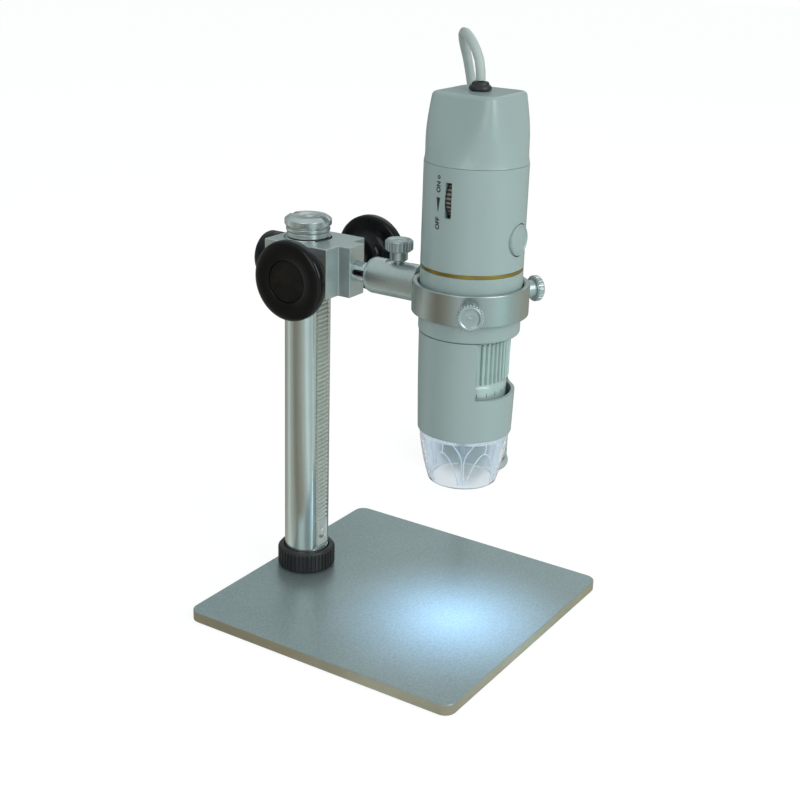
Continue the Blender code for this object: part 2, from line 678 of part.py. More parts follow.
def rack_grooves():
    """One groove for each tooth space, placed from the pinion's height."""
    shape = bmesh.new()
    reach = RACK_WIDTH / 2 + 0.5 * MM
    above = RACK_ADDENDUM + 0.2 * MM
    half = TOOTH_PITCH / 4 + TOOTH_PLAY
    slope = math.tan(PRESSURE_ANGLE)
    low, high = PITCH_LINE - DEDENDUM, PITCH_LINE + above
    narrow = half - DEDENDUM * slope
    wide = half + above * slope
    first = math.ceil((RACK_FOOT + RACK_PLAIN_FOOT - ARM_Z) / TOOTH_PITCH)
    last = math.floor((RACK_HEAD - RACK_PLAIN_HEAD - ARM_Z) / TOOTH_PITCH)
    for k in range(first, last + 1):
        z = ARM_Z + k * TOOTH_PITCH
        corners = ((low, z - narrow), (high, z - wide), (high, z + wide), (low, z + narrow))
        skin_into(shape, [[(x, y, height) for x, height in corners] for y in (-reach, reach)])
    return shape


def make_column_cap():
    """The turned cap that is screwed into the column's top."""
    neck = CAP_NECK_HEIGHT
    groove = CAP_GROOVE_DEPTH
    disc_foot = neck + 3 * groove
    disc_top = disc_foot + CAP_DISC_HEIGHT
    edge = 0.5 * MM
    waist = CAP_NECK_RADIUS - groove
    profile = [
        (0, -CAP_STUD_LENGTH),
        (CAP_STUD_RADIUS, -CAP_STUD_LENGTH),
        (CAP_STUD_RADIUS, 0),
        (CAP_NECK_RADIUS, 0),
        (CAP_NECK_RADIUS, neck - groove),
        (waist, neck - groove / 2),
        (CAP_BEAD_RADIUS, neck),
        (CAP_BEAD_RADIUS, neck + 1.6 * groove),
        (waist, neck + 2 * groove),
        (waist, disc_foot),
        (CAP_DISC_RADIUS - edge / 2, disc_foot),
        (CAP_DISC_RADIUS, disc_foot + edge / 2),
        (CAP_DISC_RADIUS, disc_top - edge),
        (CAP_DISC_RADIUS - edge, disc_top),
        (0, disc_top),
    ]
    at = (COLUMN_X, 0, COLUMN_TOP + GAP)
    cap = add("column_cap", turned(profile, MEDIUM), "aluminium", "root", at)
    past = CAP_DISC_RADIUS + 1 * MM
    half = CAP_SLOT_WIDTH / 2
    slot_foot = disc_top - CAP_SLOT_DEPTH
    carve(cap, box((-past, -half, slot_foot), (past, half, disc_top + 1 * MM)))
    dimple = [(0, slot_foot - 0.7 * MM), (0.7 * MM, slot_foot), (0.7 * MM, disc_top), (0, disc_top)]
    carve(cap, turned(dimple, 12))


# Carriage


def make_carriage_block():
    """The block that slides on the column, with the boss for the arm."""
    side, boss = CARRIAGE_HALF_WIDTH, BOSS_HALF_WIDTH
    back, front, nose = (x - COLUMN_X for x in (CARRIAGE_BACK, CARRIAGE_FRONT, BOSS_FRONT))
    outline = [(back, -side), (front, -side), (front, -boss), (nose, -boss)]
    outline += [(nose, boss), (front, boss), (front, side), (back, side)]
    block = add("carriage_block", prism(outline, 0, CARRIAGE_HEIGHT), "aluminium", "carriage")
    bevel(block, CARRIAGE_EDGE)
    middle = CARRIAGE_HEIGHT / 2
    past = 2 * MM
    shelf_low = (front + 0.05 * MM, -side, CARRIAGE_HEIGHT - BOSS_STEP)
    carve(block, box(shelf_low, (nose + past, side, CARRIAGE_HEIGHT + past)))
    carve(block, rod(COLUMN_BORE, -past, CARRIAGE_HEIGHT + past, FINE))
    cross = laid(rod(CROSS_BORE, -side - past, side + past, COARSE), (-math.pi / 2, 0, 0))
    carve(block, moved(cross, (PINION_X - COLUMN_X, 0, middle)))
    arm = laid(rod(ARM_BORE, nose - ARM_SEAT, nose + past, COARSE), ALONG_X)
    carve(block, moved(arm, (0, 0, middle)))
    lock = laid(rod(LOCK_SCREW_RADIUS + GAP, back - past, -COLUMN_RADIUS / 2, SMALL), ALONG_X)
    carve(block, moved(lock, (0, 0, middle)))
    screw_x = nose - BOSS_LENGTH / 2
    hole = rod(ARM_SCREW_RADIUS + GAP, -past, middle)
    carve(block, moved(hole, (screw_x, 0, 0)))
    top = ARM_Z - ARM_RADIUS - GAP
    screw = rod(ARM_SCREW_RADIUS, top - ARM_SCREW_LENGTH, top, SMALL, 0.3 * MM)
    at = (COLUMN_X + screw_x, 0, 0)
    add("arm_set_screw", screw, "screw_steel", "carriage", at)


def make_shaft_bush(name, turn):
    """A flanged bush, made along Z from the pinion outward."""
    inner_end = PINION_WIDTH / 2 + GAP
    shoulder = CARRIAGE_HALF_WIDTH + GAP
    profile = [
        (BUSH_BORE, inner_end),
        (BUSH_RADIUS, inner_end),
        (BUSH_RADIUS, shoulder),
        (BUSH_FLANGE_RADIUS, shoulder),
        (BUSH_FLANGE_RADIUS, BUSH_OUTER),
        (BUSH_BORE, BUSH_OUTER),
    ]
    at = (PINION_X, 0, ARM_Z)
    add(name, turned(profile, COARSE, closed=True), "brass", "carriage", at, turn)


def pinion_outline():
    """The pinion's teeth across its axis, as (x, z) points, with one facing the rack."""
    base = PITCH_RADIUS * math.cos(PRESSURE_ANGLE)
    tip = PITCH_RADIUS + PINION_ADDENDUM
    root = PITCH_RADIUS - DEDENDUM
    half = math.pi / (2 * PINION_TEETH) - TOOTH_PLAY / PITCH_RADIUS
    half_base = half + involute(PRESSURE_ANGLE)
    half_tip = half_base - involute(math.acos(base / tip))
    half_root = ROOT_UNDERCUT * half_base
    corners = (
        (-half_root, root),
        (-half, PITCH_RADIUS),
        (-half_tip, tip),
        (half_tip, tip),
        (half, PITCH_RADIUS),
        (half_root, root),
    )
    outline = []
    for k in range(PINION_TEETH):
        middle = 2 * math.pi * k / PINION_TEETH
        for offset, radius in corners:
            angle = middle + offset
            outline.append((-radius * math.cos(angle), radius * math.sin(angle)))
    return outline


def involute(angle):
    """The involute function."""
    return math.tan(angle) - angle


def make_pinion_shaft():
    """The shaft and its pinion, in one piece along Y."""
    end = KNOB_FOOT + KNOB_GRIP
    half = PINION_WIDTH / 2
    sections = [[(x, y, z) for x, z in pinion_outline()] for y in (-half, half)]
    shaft = add("pinion_shaft", skinned(sections), "screw_steel", "pinion")
    carve(shaft, laid(rod(SHAFT_RADIUS, -end, end), (math.pi / 2, 0, 0)), "UNION")


def make_pinion_knob(name, turn):
    """A knob with its hub and, in its face, a flush disc. It is made along Z."""
    bore = SHAFT_RADIUS + GAP
    grip = KNOB_GRIP + GAP
    length = KNOB_LENGTH
    rim_foot = length - KNOB_RIM
    hub = KNOB_HUB_RADIUS
    rim = KNOB_RADIUS
    seat = KNOB_CAP_RADIUS + GAP
    floor = length - 0.1 * MM - KNOB_CAP_THICKNESS - GAP
    profile = [
        (0, grip),
        (bore, grip),
        (bore, 0),
        (hub - 0.3 * MM, 0),
        (hub, 0.3 * MM),
        (hub + 0.2 * MM, 0.45 * rim_foot),
        (hub + 1.2 * MM, 0.78 * rim_foot),
        (hub + 3.4 * MM, 0.95 * rim_foot),
        (rim - 1.1 * MM, rim_foot),
        (rim - 0.3 * MM, rim_foot + 0.4 * MM),
        (rim, rim_foot + 1.1 * MM),
        (rim, length - 1.5 * MM),
        (rim - 0.4 * MM, length - 0.6 * MM),
        (rim - 1.4 * MM, length - 0.15 * MM),
        (seat, length),
        (seat, floor),
        (0, floor),
    ]
    sides = {"front": -1, "rear": 1}
    foot = sides[name] * KNOB_FOOT
    at = (PINION_X, foot, ARM_Z)
    add("pinion_knob_" + name, turned(profile, MEDIUM), "black_gloss", "pinion", at, turn)
    low = floor + GAP
    high = low + KNOB_CAP_THICKNESS
    cap = KNOB_CAP_RADIUS
    profile = [(0, low), (cap, low), (cap, high), (0, high + 0.1 * MM)]
    add("knob_cap_" + name, turned(profile, MEDIUM), "black_satin", "pinion", at, turn)


def make_lock():
    """The lock knob on its screw, and the brass pad that bears on the column."""
    screw_foot = -COLUMN_RADIUS - GAP - (CARRIAGE_BACK - COLUMN_X)
    pad = rod(LOCK_SCREW_RADIUS - 0.1 * MM, -LOCK_PAD_THICKNESS, 0, SMALL)
    at = (CARRIAGE_BACK + screw_foot, 0, ARM_Z)
    add("lock_pad", pad, "brass", "carriage", at, ALONG_X)
    start = screw_foot - LOCK_PAD_THICKNESS - GAP
    knob_face = LOCK_KNOB_GAP + LOCK_KNOB_THICKNESS
    end = LOCK_KNOB_GAP + LOCK_SCREW_GRIP
    screw = rod(LOCK_SCREW_RADIUS, -start, end, SMALL)
    add("lock_screw", screw, "screw_steel", "lock", None, ALONG_MINUS_X)
    radius = LOCK_KNOB_RADIUS
    bore = LOCK_SCREW_RADIUS + GAP
    profile = [
        (0, end + GAP),
        (bore, end + GAP),
        (bore, LOCK_KNOB_GAP),
        (radius - 0.8 * MM, LOCK_KNOB_GAP),
        (radius, LOCK_KNOB_GAP + 0.8 * MM),
        (radius, knob_face - 1.2 * MM),
        (radius - 0.4 * MM, knob_face - 0.4 * MM),
        (radius - 1.3 * MM, knob_face),
        (0, knob_face + 0.2 * MM),
    ]
    add("lock_knob", turned(profile, MEDIUM), "black_gloss", "lock", None, ALONG_MINUS_X)


# Arm and clamp


def make_arm_rod():
    """The plain chromed rod between the carriage and the clamp."""
    shape = rod(ARM_RADIUS, ARM_START - BOSS_FRONT, ARM_END - BOSS_FRONT, COARSE, 0.5 * MM)
    add("arm_rod", shape, "chrome", "arm", None, ALONG_X)


def make_clamp_socket():
    """The socket on the rod, saddled to the ring and spigoted into its wall."""
    ring_axis = SCOPE_X - SOCKET_X
    length = SOCKET_LENGTH + 3 * MM
    edge = 1.0 * MM
    radius = SOCKET_RADIUS
    profile = [(0, 0), (radius - edge, 0), (radius - 0.3 * MM, 0.35 * edge)]
    profile += [(radius, edge), (radius, length), (0, length)]
    body = laid(turned(profile, MEDIUM), ALONG_X)
    socket = add("clamp_socket", body, "aluminium", "clamp")
    half = RING_HEIGHT
    saddle = rod(RING_OUTER + GAP, -half - RING_DROP, half, FINE)
    carve(socket, moved(saddle, (ring_axis, 0, 0)))
    spigot = rod(SOCKET_SPIGOT_RADIUS, ARM_GRIP + SOCKET_BORE_SPARE, ring_axis - RING_INNER - GAP)
    carve(socket, laid(spigot, ALONG_X), "UNION")
    carve(socket, laid(rod(ARM_BORE, -1 * MM, ARM_GRIP + SOCKET_BORE_SPARE - 1 * MM, COARSE), ALONG_X))
    hole = rod(THUMB_STEM_RADIUS + GAP, 0, radius + 1 * MM)
    carve(socket, moved(hole, (SOCKET_SCREW_PLACE, 0, 0)))
    seat = radius - SOCKET_SPOTFACE_DEPTH
    spotface = rod(SOCKET_THUMB_HEAD_RADIUS - 0.3 * MM, seat, seat + 3 * MM, COARSE)
    carve(socket, moved(spotface, (SOCKET_SCREW_PLACE, 0, 0)))


def make_clamp_ring():
    """The split-free ring that holds the microscope."""
    half = RING_HEIGHT / 2
    chamfer = RING_CHAMFER
    profile = [
        (RING_INNER, -half + chamfer),
        (RING_INNER + chamfer, -half),
        (RING_OUTER - chamfer / 2, -half),
        (RING_OUTER, -half + chamfer / 2),
        (RING_OUTER, half - chamfer / 2),
        (RING_OUTER - chamfer / 2, half),
        (RING_INNER + chamfer, half),
        (RING_INNER, half - chamfer),
    ]
    at = (SCOPE_X, 0, RING_Z)
    ring = add("clamp_ring", turned(profile, FINE, closed=True), "aluminium", "clamp", at)
    spigot = rod(SOCKET_SPIGOT_RADIUS + GAP, RING_INNER - 2 * MM, RING_OUTER + 1 * MM, COARSE)
    carve(ring, moved(laid(spigot, ALONG_MINUS_X), (0, 0, RING_DROP)))
    for side in (-1, 1):
        hole = rod(THUMB_STEM_RADIUS + GAP, RING_INNER - 2 * MM, RING_OUTER + 2 * MM, 12)
        carve(ring, laid(hole, (0, math.pi / 2, side * RING_SCREW_ANGLE)))


def thumb_screw(stem_foot, seat, neck_radius, neck_height, head_radius, head_height):
    """A thumb screw along Z with a dished head and a turned point in the dish."""
    neck_top = seat + neck_height
    top = neck_top + head_height
    edge = 0.35 * MM
    profile = [
        (0, stem_foot),
        (THUMB_STEM_RADIUS, stem_foot),
        (THUMB_STEM_RADIUS, seat),
        (neck_radius, seat + edge),
        (neck_radius, neck_top),
        (head_radius - edge, neck_top),
        (head_radius, neck_top + edge),
        (head_radius, top - edge),
        (head_radius - edge, top),
        (0.62 * head_radius, top - 0.35 * MM),
        (0.22 * head_radius, top - 0.35 * MM),
        (0, top),
    ]
    return turned(profile, COARSE)


def make_thumb_screws():
    """One screw on the socket and two on the ring."""
    seat = SOCKET_RADIUS - SOCKET_SPOTFACE_DEPTH + SOCKET_THUMB_LIFT
    shape = thumb_screw(
        ARM_RADIUS + GAP,
        seat,
        SOCKET_THUMB_NECK_RADIUS,
        SOCKET_THUMB_NECK_HEIGHT,
        SOCKET_THUMB_HEAD_RADIUS,
        SOCKET_THUMB_HEAD_HEIGHT,
    )
    add("socket_thumb_screw", shape, "aluminium", "socket_screw")
    for name, side in (("front", -1), ("rear", 1)):
        shape = thumb_screw(
            HOUSING_RADIUS + GAP,
            RING_OUTER + GAP,
            RING_THUMB_NECK_RADIUS,
            RING_THUMB_NECK_HEIGHT,
            RING_THUMB_HEAD_RADIUS,
            RING_THUMB_HEAD_HEIGHT,
        )
        turn = (0, math.pi / 2, side * RING_SCREW_ANGLE)
        body = "ring_screw_" + name
        add("ring_thumb_screw_" + name, shape, "aluminium", body, None, turn)


# Microscope housing


def make_main_housing():
    """The round upper housing, with the band's groove, button hole and wheel slot."""
    outer = HOUSING_RADIUS
    inner = HOUSING_INNER
    shoulder = HOUSING_SHOULDER
    groove_foot = BAND_PLACE - BAND_HEIGHT / 2 - GAP
    groove_top = BAND_PLACE + BAND_HEIGHT / 2 + GAP
    groove = outer - BAND_DEPTH - GAP
    profile = [
        (inner, 0),
        (outer - shoulder, 0),
        (outer - 0.35 * shoulder, 0.25 * shoulder),
        (outer, shoulder),
        (outer, groove_foot),
        (groove, groove_foot),
        (groove, groove_top),
        (outer, groove_top),
        (outer, HOUSING_LENGTH),
        (inner, HOUSING_LENGTH),
    ]
    shape = turned(profile, FINE, closed=True)
    housing = add("main_housing", shape, "housing_paint", "scope")
    hole_radius = BUTTON_RADIUS + GAP
    wall_start = math.sqrt(inner**2 - hole_radius**2) - CUT_MARGIN
    hole = rod(hole_radius, wall_start, outer + CUT_MARGIN, COARSE)
    carve(housing, moved(laid(hole, ALONG_X), (0, 0, BUTTON_PLACE)))
    half = WHEEL_WIDTH / 2 + GAP
    rise = WHEEL_SLOT_HEIGHT / 2
    low = (-half, -outer - CUT_MARGIN, WHEEL_PLACE - rise)
    carve(housing, box(low, (half, -inner + CUT_MARGIN, WHEEL_PLACE + rise)))


def make_gold_band():
    """The thin band let into the housing's groove."""
    low = BAND_PLACE - BAND_HEIGHT / 2
    high = BAND_PLACE + BAND_HEIGHT / 2
    inner = HOUSING_RADIUS - BAND_DEPTH
    outer = HOUSING_RADIUS
    profile = [(inner, low), (outer, low), (outer, high), (inner, high)]
    add("gold_band", turned(profile, FINE, closed=True), "gold_line", "scope")


def top_ring(height, inset=0.0):
    """The top cap's outline at a height, which goes from round to nearly square."""
    share = (height - TOP_FOOT) / (TOP_HEAD - TOP_FOOT)
    share = min(max(share, 0.0), 1.0)
    reach = HOUSING_RADIUS - (HOUSING_RADIUS - TOP_HALF_WIDTH) * share**1.1
    power = 2 + TOP_SQUARENESS * share**1.5
    ring = []
    for k in range(FINE):
        angle = 2 * math.pi * k / FINE
        spread = abs(math.cos(angle)) ** power + abs(math.sin(angle)) ** power
        radius = reach / spread ** (1 / power) - inset
        ring.append((radius * math.cos(angle), radius * math.sin(angle), height))
    return ring


def round_ring(radius, height):
    """A ring of as many points as the top cap's outline."""
    angles = [2 * math.pi * k / FINE for k in range(FINE)]
    return [(radius * math.cos(a), radius * math.sin(a), height) for a in angles]


def make_top_cap():
    """The hollow cap, lofted from the housing's circle to a rounded square."""
    spigot_foot = TOP_SPIGOT_FOOT
    spigot_inner = SPIGOT_RADIUS - TOP_WALL + 0.6 * MM
    under = TOP_HEAD - TOP_WALL
    hole = GLAND_NECK_RADIUS + GAP
    rounding = ((TOP_HEAD - TOP_EDGE, 0), (TOP_HEAD - 0.35 * TOP_EDGE, 0.3 * TOP_EDGE))
    sections = [round_ring(SPIGOT_RADIUS, spigot_foot), round_ring(SPIGOT_RADIUS, TOP_FOOT)]
    for share in (0, 0.3, 0.55, 0.78):
        sections.append(top_ring(TOP_FOOT + share * (TOP_HEAD - TOP_FOOT)))
    sections += [top_ring(height, inset) for height, inset in rounding]
    sections.append(top_ring(TOP_HEAD, TOP_EDGE))
    sections += [round_ring(hole, TOP_HEAD), round_ring(hole, under)]
    for share in (1, 0.5):
        height = TOP_FOOT + share * (under - TOP_FOOT)
        sections.append(top_ring(height, TOP_WALL))
    sections += [round_ring(spigot_inner, TOP_FOOT + 0.8 * MM)]
    sections += [round_ring(spigot_inner, spigot_foot)]
    add("top_cap", skinned(sections, closed=True), "housing_paint", "scope")


def make_cable_gland():
    """The black grommet that the cable comes out of."""
    neck = GLAND_NECK_RADIUS
    wall_foot = TOP_HEAD - TOP_WALL
    flange = neck + GLAND_FLANGE
    dome_foot = TOP_HEAD + GAP
    dome_top = dome_foot + GLAND_HEIGHT
    profile = [
        (0, wall_foot - GAP - GLAND_FLANGE),
        (flange, wall_foot - GAP - GLAND_FLANGE),
        (flange, wall_foot - GAP),
        (neck, wall_foot - GAP),
        (neck, dome_foot),
        (GLAND_RADIUS, dome_foot),
        (GLAND_RADIUS, dome_foot + 0.35 * GLAND_HEIGHT),
        (0.86 * GLAND_RADIUS, dome_foot + 0.72 * GLAND_HEIGHT),
        (0.6 * GLAND_RADIUS, dome_top),
        (0, dome_top),
    ]
    add("cable_gland", turned(profile, COARSE), "black_satin", "scope")


def make_snap_button():
    """The round button, kept in by a flange behind the wall, and its switch."""
    foot = MAIN_BOARD_FRONT + GAP
    flange_radius = BUTTON_RADIUS + BUTTON_FLANGE
    reach = math.sqrt(HOUSING_INNER**2 - flange_radius**2)
    flange_top = reach - GAP
    flange_foot = flange_top - BUTTON_FLANGE_THICKNESS
    face = HOUSING_RADIUS + BUTTON_PROUD
    profile = [
        (0, flange_foot),
        (flange_radius, flange_foot),
        (flange_radius, flange_top),
        (BUTTON_RADIUS, flange_top),
        (BUTTON_RADIUS, face - 0.7 * MM),
        (BUTTON_RADIUS - 0.4 * MM, face - 0.35 * MM),
        (0.5 * BUTTON_RADIUS, face - 0.08 * MM),
        (0, face),
    ]
    add("snap_button", turned(profile, COARSE), "housing_paint", "button", None, ALONG_X)
    half = SWITCH_SIDE / 2
    switch_top = flange_foot - BUTTON_TRAVEL - GAP
    low = (foot, -half, BUTTON_PLACE - half)
    add("button_switch", box(low, (switch_top, half, BUTTON_PLACE + half)), "black_satin", "scope")


def make_brightness_wheel():
    """The ridged wheel in its slot, with its axle in the potentiometer behind it."""
    outline = ribbed_ring(WHEEL_RIDGES, WHEEL_RADIUS, WHEEL_RADIUS - WHEEL_RIDGE_DEPTH, 0.3, 0.2)
    half = WHEEL_WIDTH / 2
    shape = laid(prism(outline, -half, half), ALONG_X)
    wheel = add("brightness_wheel", shape, "black_satin", "wheel")
    axle_end = POT_BACK - POT_BACK_WALL
    carve(wheel, laid(rod(WHEEL_AXLE_RADIUS, 0, axle_end), ALONG_X), "UNION")
    side = POT_SIDE / 2
    low = (half + GAP, -WHEEL_AXIS - side, WHEEL_PLACE - side)
    high = (POT_BACK, -WHEEL_AXIS + side, WHEEL_PLACE + side)
    pot = add("brightness_pot", box(low, high), "black_satin", "scope")
    bore = laid(rod(WHEEL_AXLE_RADIUS + GAP, half - 1 * MM, axle_end + GAP), ALONG_X)
    carve(pot, moved(bore, (0, -WHEEL_AXIS, WHEEL_PLACE)))


# Focus, lens and nose


def sleeve_radius(height, inset=0.0):
    """The sleeve's outer radius, which swells a little from its foot to the seam."""
    share = (height - SLEEVE_FOOT) / (0 - SLEEVE_FOOT)
    straight = SLEEVE_FOOT_RADIUS + (SLEEVE_TOP_RADIUS - SLEEVE_FOOT_RADIUS) * share
    return straight + SLEEVE_BULGE * math.sin(math.pi * share) - inset


def make_lower_sleeve():
    """The sleeve round the focus drum, with its window open to the front."""
    top = -GAP
    stations = [SLEEVE_FOOT + share * (top - SLEEVE_FOOT) for share in (0, 0.33, 0.67, 1)]
    ledge = top - SLEEVE_FLANGE
    bore = SPIGOT_RADIUS - SLEEVE_SPIGOT_WALL
    profile = [(sleeve_radius(z), z) for z in stations]
    profile += [(SPIGOT_RADIUS, top), (SPIGOT_RADIUS, SLEEVE_SPIGOT_HEIGHT)]
    profile += [(bore, SLEEVE_SPIGOT_HEIGHT), (bore, ledge)]
    profile += [(sleeve_radius(ledge, SLEEVE_WALL), ledge)]
    profile += [(sleeve_radius(z, SLEEVE_WALL), z) for z in (stations[1], stations[0])]
    sleeve = add("lower_sleeve", turned(profile, FINE, closed=True), "housing_paint", "scope")
    height = 2 * WINDOW_DEPTH
    window = rounded_rectangle(height, 2 * WINDOW_HALF_WIDTH, WINDOW_CORNER, steps=3)
    start = SLEEVE_FOOT_RADIUS / 3
    cutter = prism(window, start, SLEEVE_TOP_RADIUS + 2 * MM)
    cutter = laid(cutter, ALONG_X)
    carve(sleeve, window_tool(cutter))


def window_tool(cutter):
    """Keep the half of a window's cutter that is below the seam."""
    plane = (0, 0, -GAP + 0.2 * MM)
    everything = cutter.verts[:] + cutter.edges[:] + cutter.faces[:]
    bmesh.ops.bisect_plane(
        cutter, geom=everything, plane_co=plane, plane_no=(0, 0, 1), clear_outer=True
    )
    rim = [edge for edge in cutter.edges if edge.is_boundary]
    bmesh.ops.contextual_create(cutter, geom=rim)
    bmesh.ops.recalc_face_normals(cutter, faces=cutter.faces)
    return cutter


def make_focus_drum():
    """The drum that the fingers turn through the window."""
    top = -GAP - SLEEVE_FLANGE - GAP
    foot = top - DRUM_LENGTH
    rib_foot = foot + DRUM_PLAIN_BAND
    root = DRUM_RADIUS - DRUM_RIB_DEPTH
    ribs = ribbed_ring(DRUM_RIBS, DRUM_RADIUS, root, 0.42, 0.14)
    drum = add("focus_drum", prism(ribs, rib_foot, top), "drum_grey", "focus")
    carve(drum, rod(root - 0.1 * MM, foot, top - 0.5 * MM, FINE), "UNION")
    carve(drum, rod(DRUM_BORE, foot - 1 * MM, top + 1 * MM, MEDIUM))


def make_lens_barrel():
    """The barrel that the drum drives up and down on two guide pins."""
    foot = -BARREL_PLACE
    top = foot + BARREL_LENGTH
    lip = BARREL_BORE - BARREL_LIP
    profile = [
        (lip, foot),
        (BARREL_RADIUS - 0.5 * MM, foot),
        (BARREL_RADIUS, foot + 0.5 * MM),
        (BARREL_RADIUS, top),
        (BARREL_BORE, top),
        (BARREL_BORE, foot + BARREL_LIP),
        (lip, foot + BARREL_LIP),
    ]
    barrel = add("lens_barrel", turned(profile, MEDIUM, closed=True), "black_satin", "lens")
    for side in (-1, 1):
        hole = rod(GUIDE_PIN_RADIUS + GAP, foot - 1 * MM, top + 1 * MM, 10)
        carve(barrel, moved(hole, (0, side * GUIDE_PIN_PITCH, 0)))
    low = foot + BARREL_LIP + GAP
    radius = BARREL_BORE - GAP
    high = low + LENS_THICKNESS
    profile = [
        (0, low),
        (0.5 * radius, low + 0.25 * LENS_DOME),
        (radius, low + LENS_DOME),
        (radius, high - LENS_DOME),
        (0.5 * radius, high - 0.25 * LENS_DOME),
        (0, high),
    ]
    add("objective_lens", turned(profile, COARSE), "lens_glass", "lens")


def make_boards():
    """The sensor board with its guide pins, the LED board and the main board."""
    foot = SENSOR_BOARD_FOOT
    disc = rod(SPIGOT_RADIUS, foot, foot + BOARD_THICKNESS, MEDIUM)
    board = add("sensor_board", disc, "board_green", "scope")
    half = SENSOR_SIDE / 2
    chip = box((-half, -half, foot - SENSOR_HEIGHT), (half, half, foot + BOARD_THICKNESS / 2))
    carve(board, chip, "UNION")
    pin_top = foot - GAP
    for name, side in (("front", -1), ("rear", 1)):
        pin = rod(GUIDE_PIN_RADIUS, pin_top - GUIDE_PIN_LENGTH, pin_top, 10)
        at = (SCOPE_X, side * GUIDE_PIN_PITCH, SEAM_Z)
        add("guide_pin_" + name, pin, "screw_steel", "scope", at)
    low = (MAIN_BOARD_PLACE, -MAIN_BOARD_HALF_WIDTH, MAIN_BOARD_FOOT)
    high = (MAIN_BOARD_FRONT, MAIN_BOARD_HALF_WIDTH, MAIN_BOARD_TOP)
    add("main_board", box(low, high), "board_green", "scope")


def nose_radius(height, inset=0.0):
    """The nose cap's outer radius, a cone that swells a little in the middle."""
    share = (NOSE_TOP - height) / (NOSE_LENGTH - GAP)
    straight = NOSE_TOP_RADIUS + (NOSE_FOOT_RADIUS - NOSE_TOP_RADIUS) * share
    return straight + NOSE_BULGE * math.sin(math.pi * share) - inset


def make_nose():
    """The clear nose cap, open below, and the LED board on its spigot."""
    foot = SLEEVE_FOOT - NOSE_LENGTH
    stations = [foot + share * (NOSE_TOP - foot) for share in (0, 0.25, 0.5, 0.75, 1)]
    spigot = SLEEVE_FOOT_RADIUS - SLEEVE_WALL - GAP
    spigot_top = SLEEVE_FOOT + NOSE_SPIGOT_HEIGHT
    profile = [(nose_radius(z), z) for z in stations]
    profile += [(spigot, NOSE_TOP), (spigot, spigot_top), (spigot - NOSE_WALL, spigot_top)]
    profile += [(spigot - NOSE_WALL, NOSE_TOP)]
    profile += [(nose_radius(z, NOSE_WALL), z) for z in reversed(stations[:-1])]
    add("nose_cap", turned(profile, MEDIUM, closed=True), "clear_plastic", "scope")
    low = LED_BOARD_FOOT
    high = low + BOARD_THICKNESS
    bore = BARREL_RADIUS + 2 * GAP
    profile = [(bore, low), (spigot, low), (spigot, high), (bore, high)]
    ring = turned(profile, MEDIUM, closed=True)
    board = add("led_board", ring, "board_green", "scope")
    lamps = bmesh.new()
    for k in range(LED_COUNT):
        angle = 2 * math.pi * (k + 0.5) / LED_COUNT
        place = (LED_RING_RADIUS * math.cos(angle), LED_RING_RADIUS * math.sin(angle))
        middle = low + BOARD_THICKNESS / 2 - (LED_LENGTH + BOARD_THICKNESS / 2) / 2
        bmesh.ops.create_cone(
            lamps,
            cap_ends=True,
            segments=6,
            radius1=LED_RADIUS,
            radius2=LED_RADIUS,
            depth=LED_LENGTH + BOARD_THICKNESS / 2,
            matrix=Matrix.Translation((*place, middle)),
        )
    carve(board, lamps, "UNION")


# Cable


def smooth_route(route, spacing):
    """Points along a smooth curve through the route's own points."""
    ends = [2 * Vector(route[0]) - Vector(route[1]), 2 * Vector(route[-1]) - Vector(route[-2])]
    knots = [ends[0], *(Vector(point) for point in route), ends[1]]
    dense = []
    for a, b, c, d in zip(knots, knots[1:], knots[2:], knots[3:]):
        for k in range(20):
            t = k / 20
            along = b * 2 + (c - a) * t + (a * 2 - b * 5 + c * 4 - d) * t**2
            dense.append((along + (b * 3 - a - c * 3 + d) * t**3) / 2)
    dense.append(knots[-2])
    total = sum((q - p).length for p, q in zip(dense, dense[1:]))
    step = total / round(total / spacing)
    points = [dense[0]]
    walked = 0.0
    for p, q in zip(dense, dense[1:]):
        walked += (q - p).length
        if walked >= step * len(points) - 0.01 * step:
            points.append(q)
    return points


def make_cable():
    """The stretch of cable from the gland to the coil."""
    points = smooth_route(CABLE_ROUTE, CABLE_SPACING)
    data = bpy.data.curves.new("cable", "CURVE")
    data.dimensions = "3D"
    data.bevel_depth = CABLE_DIAMETER / 2
    data.bevel_resolution = 2
    data.use_fill_caps = True
    spline = data.splines.new("POLY")
    spline.points.add(len(points) - 1)
    for knot, point in zip(spline.points, points):
        knot.co = (*point, 1)
    data.materials.append(MATERIALS["cable_grey"])
    cable = bpy.data.objects.new("cable", data)
    cable.parent = FRAMES["root"]
    bpy.context.collection.objects.link(cable)


